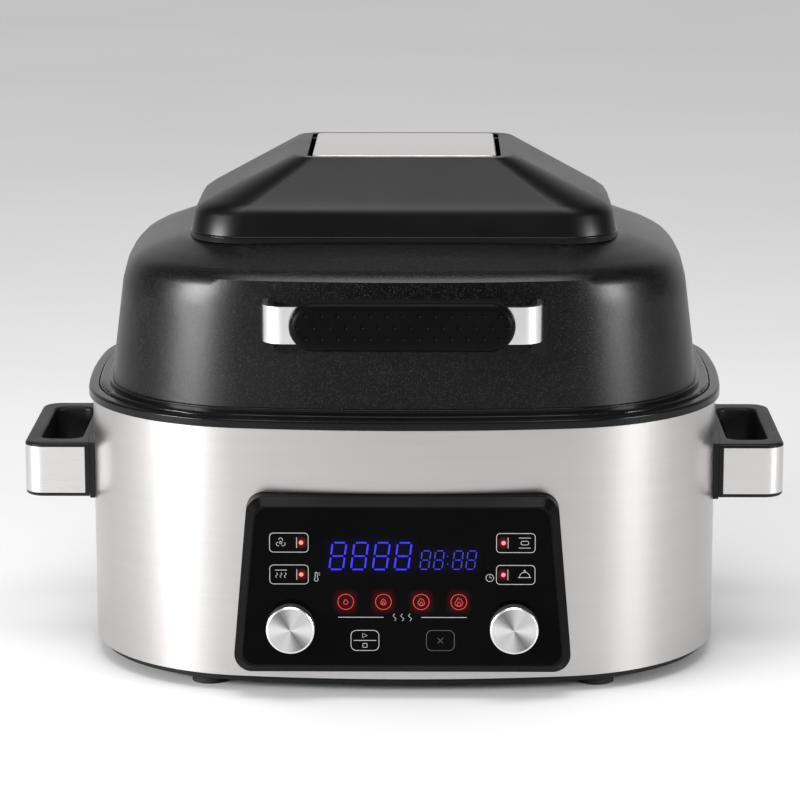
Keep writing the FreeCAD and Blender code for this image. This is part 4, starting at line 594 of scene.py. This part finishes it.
DRESS = {
    RUBBER: "rubber_feet",
    BLACK_PLASTIC: "base_pan left_side_handle right_side_handle left_handle_flange right_handle_flange "
                   "cord_gland hinge_bracket hinge_cover left_handle_mount right_handle_mount "
                   "left_knob_core right_knob_core cooling_fan",
    GLOSS_BLACK: "top_rim lid_trim_ring hood_base",
    BEZEL_BLACK: "panel_bezel",
    PANEL_GLASS: "panel_glass",
    BAND_STEEL: "steel_band",
    TRIM_STEEL: "left_handle_trim right_handle_trim",
    PLATE_STEEL: "top_plate",
    STRAP_STEEL: "lid_handle_strap",
    SHEET_STEEL: "inner_liner lid_liner fan_guard motor_bracket element_clips left_encoder right_encoder",
    FASTENER_STEEL: "pan_screws left_handle_screws right_handle_screws hinge_screws lid_screws handle_bolts "
                    "hinge_pins motor_shaft left_knob_shaft right_knob_shaft",
    POT_COATING: "cooking_pot",
    GRILL_COATING: "grill_plate",
    LID_BLACK: "lid_shell",
    HOOD_BLACK: "hood_cap",
    GRIP_BLACK: "lid_handle_grip",
    SILICONE: "lid_gasket",
    ARM_PAINT: "left_hinge_arm right_hinge_arm",
    # The knob caps' colour carries a painted highlight and painted shade.
    spun_face_painted_highlight("left_knob_spun_face_painted_highlight", KNOB_MIDDLE["left"]): "left_knob_cap",
    spun_face_painted_highlight("right_knob_spun_face_painted_highlight", KNOB_MIDDLE["right"]): "right_knob_cap",
    FAN_METAL: "convection_fan",
    BOARD_GREEN: "control_board power_board",
    DISPLAY_GREY: "display_module",
    MOTOR_PAINT: "motor_stator",
    ELEMENT_STEEL: "heating_element",
    BRASS: "fan_nut temperature_sensor",
}
for material, names in DRESS.items():
    for name in names.split():
        cad[name].data.materials.clear()
        cad[name].data.materials.append(material)
        cad[name].modifiers.new("join_and_smooth", "NODES").node_group = ROUNDING


# Lid grip with its pits


def merged_copy(node):
    """A copy of a node's mesh with its loose triangles joined."""
    work = bmesh.new()
    work.from_mesh(cad[node].data)
    bmesh.ops.remove_doubles(work, verts=work.verts, dist=JOIN_DISTANCE)
    made = bpy.data.meshes.new(node + "_joined")
    work.to_mesh(made)
    work.free()
    made.materials.clear()
    return made


grip_low, grip_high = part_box("lid_handle_grip")
grip = grow("dimpled_grip", merged_copy("lid_handle_grip"), DIMPLES, Front=grip_low.y,
            Level=(grip_low.z + grip_high.z) / 2, Finish=GRIP_BLACK)
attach(grip, "lid")
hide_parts("lid_handle_grip")


# Panel marks. A stroke is a list of points and whether it closes.


def drawing(name, strokes):
    """A mesh of edges from strokes."""
    points, edges = [], []
    for line, closed in strokes:
        first = len(points)
        points += [(x * MM, y * MM, 0.0) for x, y in line]
        edges += [(first + index, first + index + 1) for index in range(len(line) - 1)]
        if closed:
            edges.append((first + len(line) - 1, first))
    made = bpy.data.meshes.new(name)
    made.from_pydata(points, edges, [])
    return made


def line_at(x, y, points, closed=False):
    """A stroke through points given from a middle."""
    return [(x + dx, y + dy) for dx, dy in points], closed


def level_line(x, y, half):
    """A level stroke about its middle."""
    return line_at(x, y, ((-half, 0.0), (half, 0.0)))


def arc(x, y, radius, start, end, count=16):
    """Points on an arc, from one angle in degrees to another."""
    turns = [math.radians(start + (end - start) * index / count) for index in range(count + 1)]
    return [(x + radius * math.cos(turn), y + radius * math.sin(turn)) for turn in turns]


def ring(x, y, radius):
    """A closed circle."""
    return arc(x, y, radius, 0, 360, 40)[:-1], True


def rounded(x, y, width, height, radius):
    """A closed rounded box about its middle."""
    reach, rise = width / 2 - radius, height / 2 - radius
    corners = ((reach, rise, 0), (-reach, rise, 90), (-reach, -rise, 180), (reach, -rise, 270))
    return [spot for dx, dy, turn in corners
            for spot in arc(x + dx, y + dy, radius, turn, turn + 90, 6)], True


def digit_bars(x, y, width, height, gap, lean=0.13):
    """The seven bars of a slanted digit, each a stroke of its own."""
    middle = height / 2
    bars = [((0, 0), (width, 0)), ((0, middle), (width, middle)), ((0, height), (width, height))]
    bars += [((side, low), (side, low + middle)) for side in (0, width) for low in (0, middle)]
    strokes = []
    for start, end in bars:
        share = gap / math.dist(start, end)
        ends = [tuple(a + (b - a) * part for a, b in zip(start, end)) for part in (share, 1 - share)]
        strokes.append(([(x + a + lean * b, y + b) for a, b in ends], False))
    return strokes


FLAME_SHARES = ((0.0, -0.5), (-0.32, -0.36), (-0.42, -0.08), (-0.25, 0.12), (-0.2, 0.3), (-0.02, 0.5),
                (0.06, 0.24), (0.2, 0.36), (0.3, 0.1), (0.42, -0.1), (0.32, -0.36))
INNER_WIDTH_SHARE, INNER_HEIGHT_SHARE, INNER_DROP_SHARE = 0.45, 0.5, 0.2


def flame(x, y, size, tongues):
    """A flame's closed outline, and for two tongues a smaller one inside it."""
    outer = [(size * a, size * b) for a, b in FLAME_SHARES]
    inner = [(a * INNER_WIDTH_SHARE, b * INNER_HEIGHT_SHARE - size * INNER_DROP_SHARE) for a, b in outer]
    return [line_at(x, y, points, True) for points in (outer, inner)[:tongues]]


def printed(name, strokes, stroke, finish):
    """A piece of printed strokes on the front of the panel."""
    made = grow(name, drawing(name, strokes), PRINTED_LINE, Stroke=stroke * MM, Front=GLASS_FRONT,
                Finish=finish)
    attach(made, "base")
    return made


OUTLINE_STROKE, SIGN_STROKE, FLAME_STROKE = 0.36, 0.32, 0.42
TOUCH_COLUMN, TOUCH_WIDTH, TOUCH_HEIGHT, TOUCH_ROUND = 65.8, 22.4, 11.4, 2.2
DIVIDER_COLUMN, DIVIDER_RISE = 61.3, 3.2
RULE_NEAR, RULE_FAR = 11.0, 37.4
KEY_WIDTH, KEY_HEIGHT, KEY_ROUND, KEY_RULE_HALF = 16.3, 12.2, 3.2, 6.6
START_COLUMN, STOP_COLUMN = -21.8, 22.2

white = []
for side in (-1, 1):
    for row in (UPPER_ROW, LOWER_ROW):
        white.append(rounded(side * TOUCH_COLUMN, row, TOUCH_WIDTH, TOUCH_HEIGHT, TOUCH_ROUND))
        white.append(line_at(side * DIVIDER_COLUMN, row, ((0.0, -DIVIDER_RISE), (0.0, DIVIDER_RISE))))
    white.append(line_at(0.0, RULE_ROW, ((side * RULE_NEAR, 0.0), (side * RULE_FAR, 0.0))))
white.append(rounded(START_COLUMN, START_ROW, KEY_WIDTH, KEY_HEIGHT, KEY_ROUND))
white.append(level_line(START_COLUMN, START_ROW, KEY_RULE_HALF))
printed("panel_outlines", white, OUTLINE_STROKE, PRINT_WHITE)

# Shapes of the signs, in millimetres from the middle of each

LEFT_SIGN_COLUMN, RIGHT_SIGN_COLUMN = -70.5, 71.0
HUB_RADIUS, BLADE_REACH, BLADE_RADIUS = 0.7, 1.7, 1.1
BLADE_TURNS = (90, 210, 330)
BLADE_SWEEP = (-120, 90)
GRILL_BAR_HALF, GRILL_BAR_RISE = 3.5, 2.6
GRILL_WAVE_STEPS = (-2.5, 0.0, 2.5)
GRILL_WAVE = ((0.0, 1.2), (0.6, 0.2), (-0.6, -1.0), (0.0, -2.0))
TRAY_BAR_HALF, TRAY_BAR_RISE = 3.5, 3.0
TRAY_WIDTH, TRAY_HEIGHT, TRAY_ROUND = 4.4, 2.2, 0.9
DOME_RADIUS, DOME_DROP = 3.0, 1.4
DOME_KNOB_RADIUS, DOME_KNOB_RISE = 0.5, 2.3
DISH_HALF, DISH_DROP = 3.8, 1.6
PLAY_MARK = ((-1.4, 1.7), (-1.4, 4.3), (1.4, 3.0))
HALT_DROP, HALT_SIDE, HALT_ROUND = 3.0, 2.4, 0.3
CLOCK_PLACE, CLOCK_RADIUS = (50.8, 74.5), 2.2
CLOCK_HANDS = ((0.0, 1.5), (0.0, 0.0), (1.2, 0.0))
THERMOMETER_COLUMN = -50.0
STEM_TOP, STEM_RADIUS = 77.0, 0.65
BULB_LEVEL, BULB_RADIUS = 73.4, 1.1
BULB_TURNS = (125, 415)
TICK_OFFSET, TICK_HALF, TICK_LEVELS = 1.8, 0.4, (77.2, 76.0)
HEAT_WAVE_COLUMNS = (-4.5, 0.0, 4.5)
HEAT_WAVE = ((0.0, -2.2), (0.9, -0.8), (-0.9, 0.8), (0.0, 2.2))
CROSS_HALF = 1.6

signs = [ring(LEFT_SIGN_COLUMN, UPPER_ROW, HUB_RADIUS)]
for turn in BLADE_TURNS:
    blade_x = LEFT_SIGN_COLUMN + BLADE_REACH * math.cos(math.radians(turn))
    blade_y = UPPER_ROW + BLADE_REACH * math.sin(math.radians(turn))
    sweep = [turn + end for end in BLADE_SWEEP]
    signs.append((arc(blade_x, blade_y, BLADE_RADIUS, *sweep, 8), False))
signs.append(level_line(LEFT_SIGN_COLUMN, LOWER_ROW + GRILL_BAR_RISE, GRILL_BAR_HALF))
signs += [line_at(LEFT_SIGN_COLUMN + step, LOWER_ROW, GRILL_WAVE) for step in GRILL_WAVE_STEPS]
signs += [level_line(RIGHT_SIGN_COLUMN, UPPER_ROW + side * TRAY_BAR_RISE, TRAY_BAR_HALF) for side in (-1, 1)]
signs.append(rounded(RIGHT_SIGN_COLUMN, UPPER_ROW, TRAY_WIDTH, TRAY_HEIGHT, TRAY_ROUND))
signs.append((arc(RIGHT_SIGN_COLUMN, LOWER_ROW - DOME_DROP, DOME_RADIUS, 0, 180, 12), False))
signs.append(ring(RIGHT_SIGN_COLUMN, LOWER_ROW + DOME_KNOB_RISE, DOME_KNOB_RADIUS))
signs.append(level_line(RIGHT_SIGN_COLUMN, LOWER_ROW - DISH_DROP, DISH_HALF))
signs.append(line_at(START_COLUMN, START_ROW, PLAY_MARK, True))
signs.append(rounded(START_COLUMN, START_ROW - HALT_DROP, HALT_SIDE, HALT_SIDE, HALT_ROUND))
signs += [ring(*CLOCK_PLACE, CLOCK_RADIUS), line_at(*CLOCK_PLACE, CLOCK_HANDS)]
signs.append((arc(THERMOMETER_COLUMN, STEM_TOP, STEM_RADIUS, 0, 180, 6)
              + arc(THERMOMETER_COLUMN, BULB_LEVEL, BULB_RADIUS, *BULB_TURNS, 12), True))
signs += [level_line(THERMOMETER_COLUMN + TICK_OFFSET, tick, TICK_HALF) for tick in TICK_LEVELS]
signs += [line_at(x, RULE_ROW, HEAT_WAVE) for x in HEAT_WAVE_COLUMNS]
printed("panel_signs", signs, SIGN_STROKE, PRINT_WHITE)

crossed = [line_at(STOP_COLUMN, START_ROW, ((-CROSS_HALF, -rise), (CROSS_HALF, rise)))
           for rise in (CROSS_HALF, -CROSS_HALF)]
printed("panel_dim_outline",
        [rounded(STOP_COLUMN, START_ROW, KEY_WIDTH, KEY_HEIGHT, KEY_ROUND)] + crossed,
        OUTLINE_STROKE, PRINT_DIM)

LARGE_COLUMNS = [-42.4 + 12.6 * index for index in range(4)]
LARGE_FOOT, LARGE_WIDTH, LARGE_HEIGHT, LARGE_GAP, LARGE_STROKE = 79.4, 8.0, 16.0, 0.9, 1.1
SMALL_COLUMNS = (10.2, 18.0, 29.0, 36.8)
SMALL_FOOT, SMALL_WIDTH, SMALL_HEIGHT, SMALL_GAP, SMALL_STROKE = 79.6, 5.0, 11.0, 0.7, 0.75
COLON_COLUMN, COLON_LEVELS = 26.3, (82.4, 87.0)
COLON_DOT = ((0.0, 0.0), (0.1, 0.6))

large = [bar for x in LARGE_COLUMNS
         for bar in digit_bars(x, LARGE_FOOT, LARGE_WIDTH, LARGE_HEIGHT, LARGE_GAP)]
printed("large_digits", large, LARGE_STROKE, DIGIT_BLUE)
small = [bar for x in SMALL_COLUMNS
         for bar in digit_bars(x, SMALL_FOOT, SMALL_WIDTH, SMALL_HEIGHT, SMALL_GAP)]
small += [line_at(COLON_COLUMN, level, COLON_DOT) for level in COLON_LEVELS]
printed("small_digits", small, SMALL_STROKE, DIGIT_DIM_BLUE)

FLAME_RING_RADIUS = 4.6
FLAME_SIZES = (3.2, 4.0, 4.9, 5.6)
FLAME_TONGUES = (1, 2, 2, 2)

flames = [ring(*place, FLAME_RING_RADIUS) for place in FLAME_PLACES]
for place, size, tongues in zip(FLAME_PLACES, FLAME_SIZES, FLAME_TONGUES):
    flames += flame(*place, size, tongues)
printed("flame_signs", flames, FLAME_STROKE, FLAME_RED)

lamps = bpy.data.meshes.new("mode_lamp_places")
lamps.from_pydata([(x * MM, z * MM, 0.0) for x, z in LAMP_PLACES], [], [])
mode_lamps = grow("mode_lamps", lamps, LAMP_DOTS, Front=GLASS_FRONT, Finish=LAMP_PINK)
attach(mode_lamps, "base")


# Floor, light and camera

FLOOR_HALF = 6
FLOOR_DARK, FLOOR_LIGHT = grey(0.62), grey(0.65)
MIRRORED_FROM, MIRRORED_TO = 0.35, 0.95
MIRRORED_FRONT, MIRRORED_BEHIND = 0.015, 0.75
LIT_LEVEL, SHOWN_LEVEL = 0.85, 1.0

floor_corners = [(x * FLOOR_HALF, y * FLOOR_HALF, 0) for x, y in ((-1, -1), (1, -1), (1, 1), (-1, 1))]
floor_mesh = bpy.data.meshes.new("floor")
floor_mesh.from_pydata(floor_corners, [], [(0, 1, 2, 3)])
floor = show("floor", floor_mesh)
floor_finish, floor_tree, floor_shader = new_finish("pale_floor", Roughness=0.55)
feed(floor_tree, floor_shader,
     Base_Color=mixed(floor_tree, patches_of(floor_tree, FLOOR_PATCHES), FLOOR_DARK, FLOOR_LIGHT))
floor.data.materials.append(floor_finish)

world = bpy.data.worlds.new("studio")
world.use_nodes = True
scene.world = world
sky = world.node_tree
ground = sky.nodes["Background"]
ground.inputs["Color"].default_value = (*grey(1.0), 1.0)
paths = add(sky, "ShaderNodeLightPath").outputs
aim = add(sky, "ShaderNodeSeparateXYZ", {0: add(sky, "ShaderNodeTexCoord").outputs["Generated"]}).outputs
mirrored = add(sky, "ShaderNodeMapRange",
               {"Value": aim["Y"], "From Min": MIRRORED_FROM, "From Max": MIRRORED_TO,
                "To Min": MIRRORED_FRONT, "To Max": MIRRORED_BEHIND},
               interpolation_type="SMOOTHSTEP").outputs[0]
seen = math_of(sky, "MAXIMUM", paths["Is Camera Ray"], paths["Is Transmission Ray"])
shown = between(sky, seen, LIT_LEVEL, SHOWN_LEVEL)
level = add(sky, "ShaderNodeMix", {0: paths["Is Glossy Ray"], 2: shown, 3: mirrored},
            data_type="FLOAT").outputs[0]
sky.links.new(level, ground.inputs["Strength"])


def softbox(name, place, aim, width, height, power):
    """A rectangular lamp turned to a point, in metres and watts."""
    lamp = bpy.data.lights.new(name, "AREA")
    lamp.shape = "RECTANGLE"
    lamp.size, lamp.size_y, lamp.energy = width, height, power
    made = bpy.data.objects.new(name, lamp)
    scene.collection.objects.link(made)
    made.location = place
    made.rotation_euler = (Vector(aim) - Vector(place)).to_track_quat("-Z", "Y").to_euler()


softbox("left_light", place=(-1.5, -0.95, 0.52), aim=(0, 0, 0.2), width=0.75, height=0.36, power=42)
softbox("right_light", place=(1.6, -0.9, 0.52), aim=(0, 0, 0.2), width=0.5, height=0.36, power=20)
softbox("key_light", place=(-1.0, -1.6, 1.5), aim=(0, 0, 0.15), width=0.9, height=0.9, power=1)
softbox("top_light", place=(0.0, -0.55, 1.9), aim=(0, 0, 0.2), width=1.3, height=0.8, power=20)

# The camera's focal length and shift were fitted in pixels of the picture.

PICTURE_WIDTH = 800
FOCAL_PIXELS = 3352
SHIFT_PIXELS = -4.8
SENSOR_WIDTH = 36.0
CAMERA_TURN = math.radians(0.5)
CAMERA_TILT = 0.212
CAMERA_REACH = 2.047
CAMERA_HEIGHT = 0.585

lens = bpy.data.cameras.new("camera")
lens.sensor_width = SENSOR_WIDTH
lens.lens = SENSOR_WIDTH * FOCAL_PIXELS / PICTURE_WIDTH
lens.shift_x = SHIFT_PIXELS / PICTURE_WIDTH
camera = bpy.data.objects.new("camera", lens)
camera.location = (CAMERA_REACH * math.sin(CAMERA_TURN), -CAMERA_REACH * math.cos(CAMERA_TURN), CAMERA_HEIGHT)
camera.rotation_euler = (math.pi / 2 - CAMERA_TILT, 0.0, CAMERA_TURN)
scene.collection.objects.link(camera)
scene.camera = camera
scene.view_settings.view_transform = "Standard"
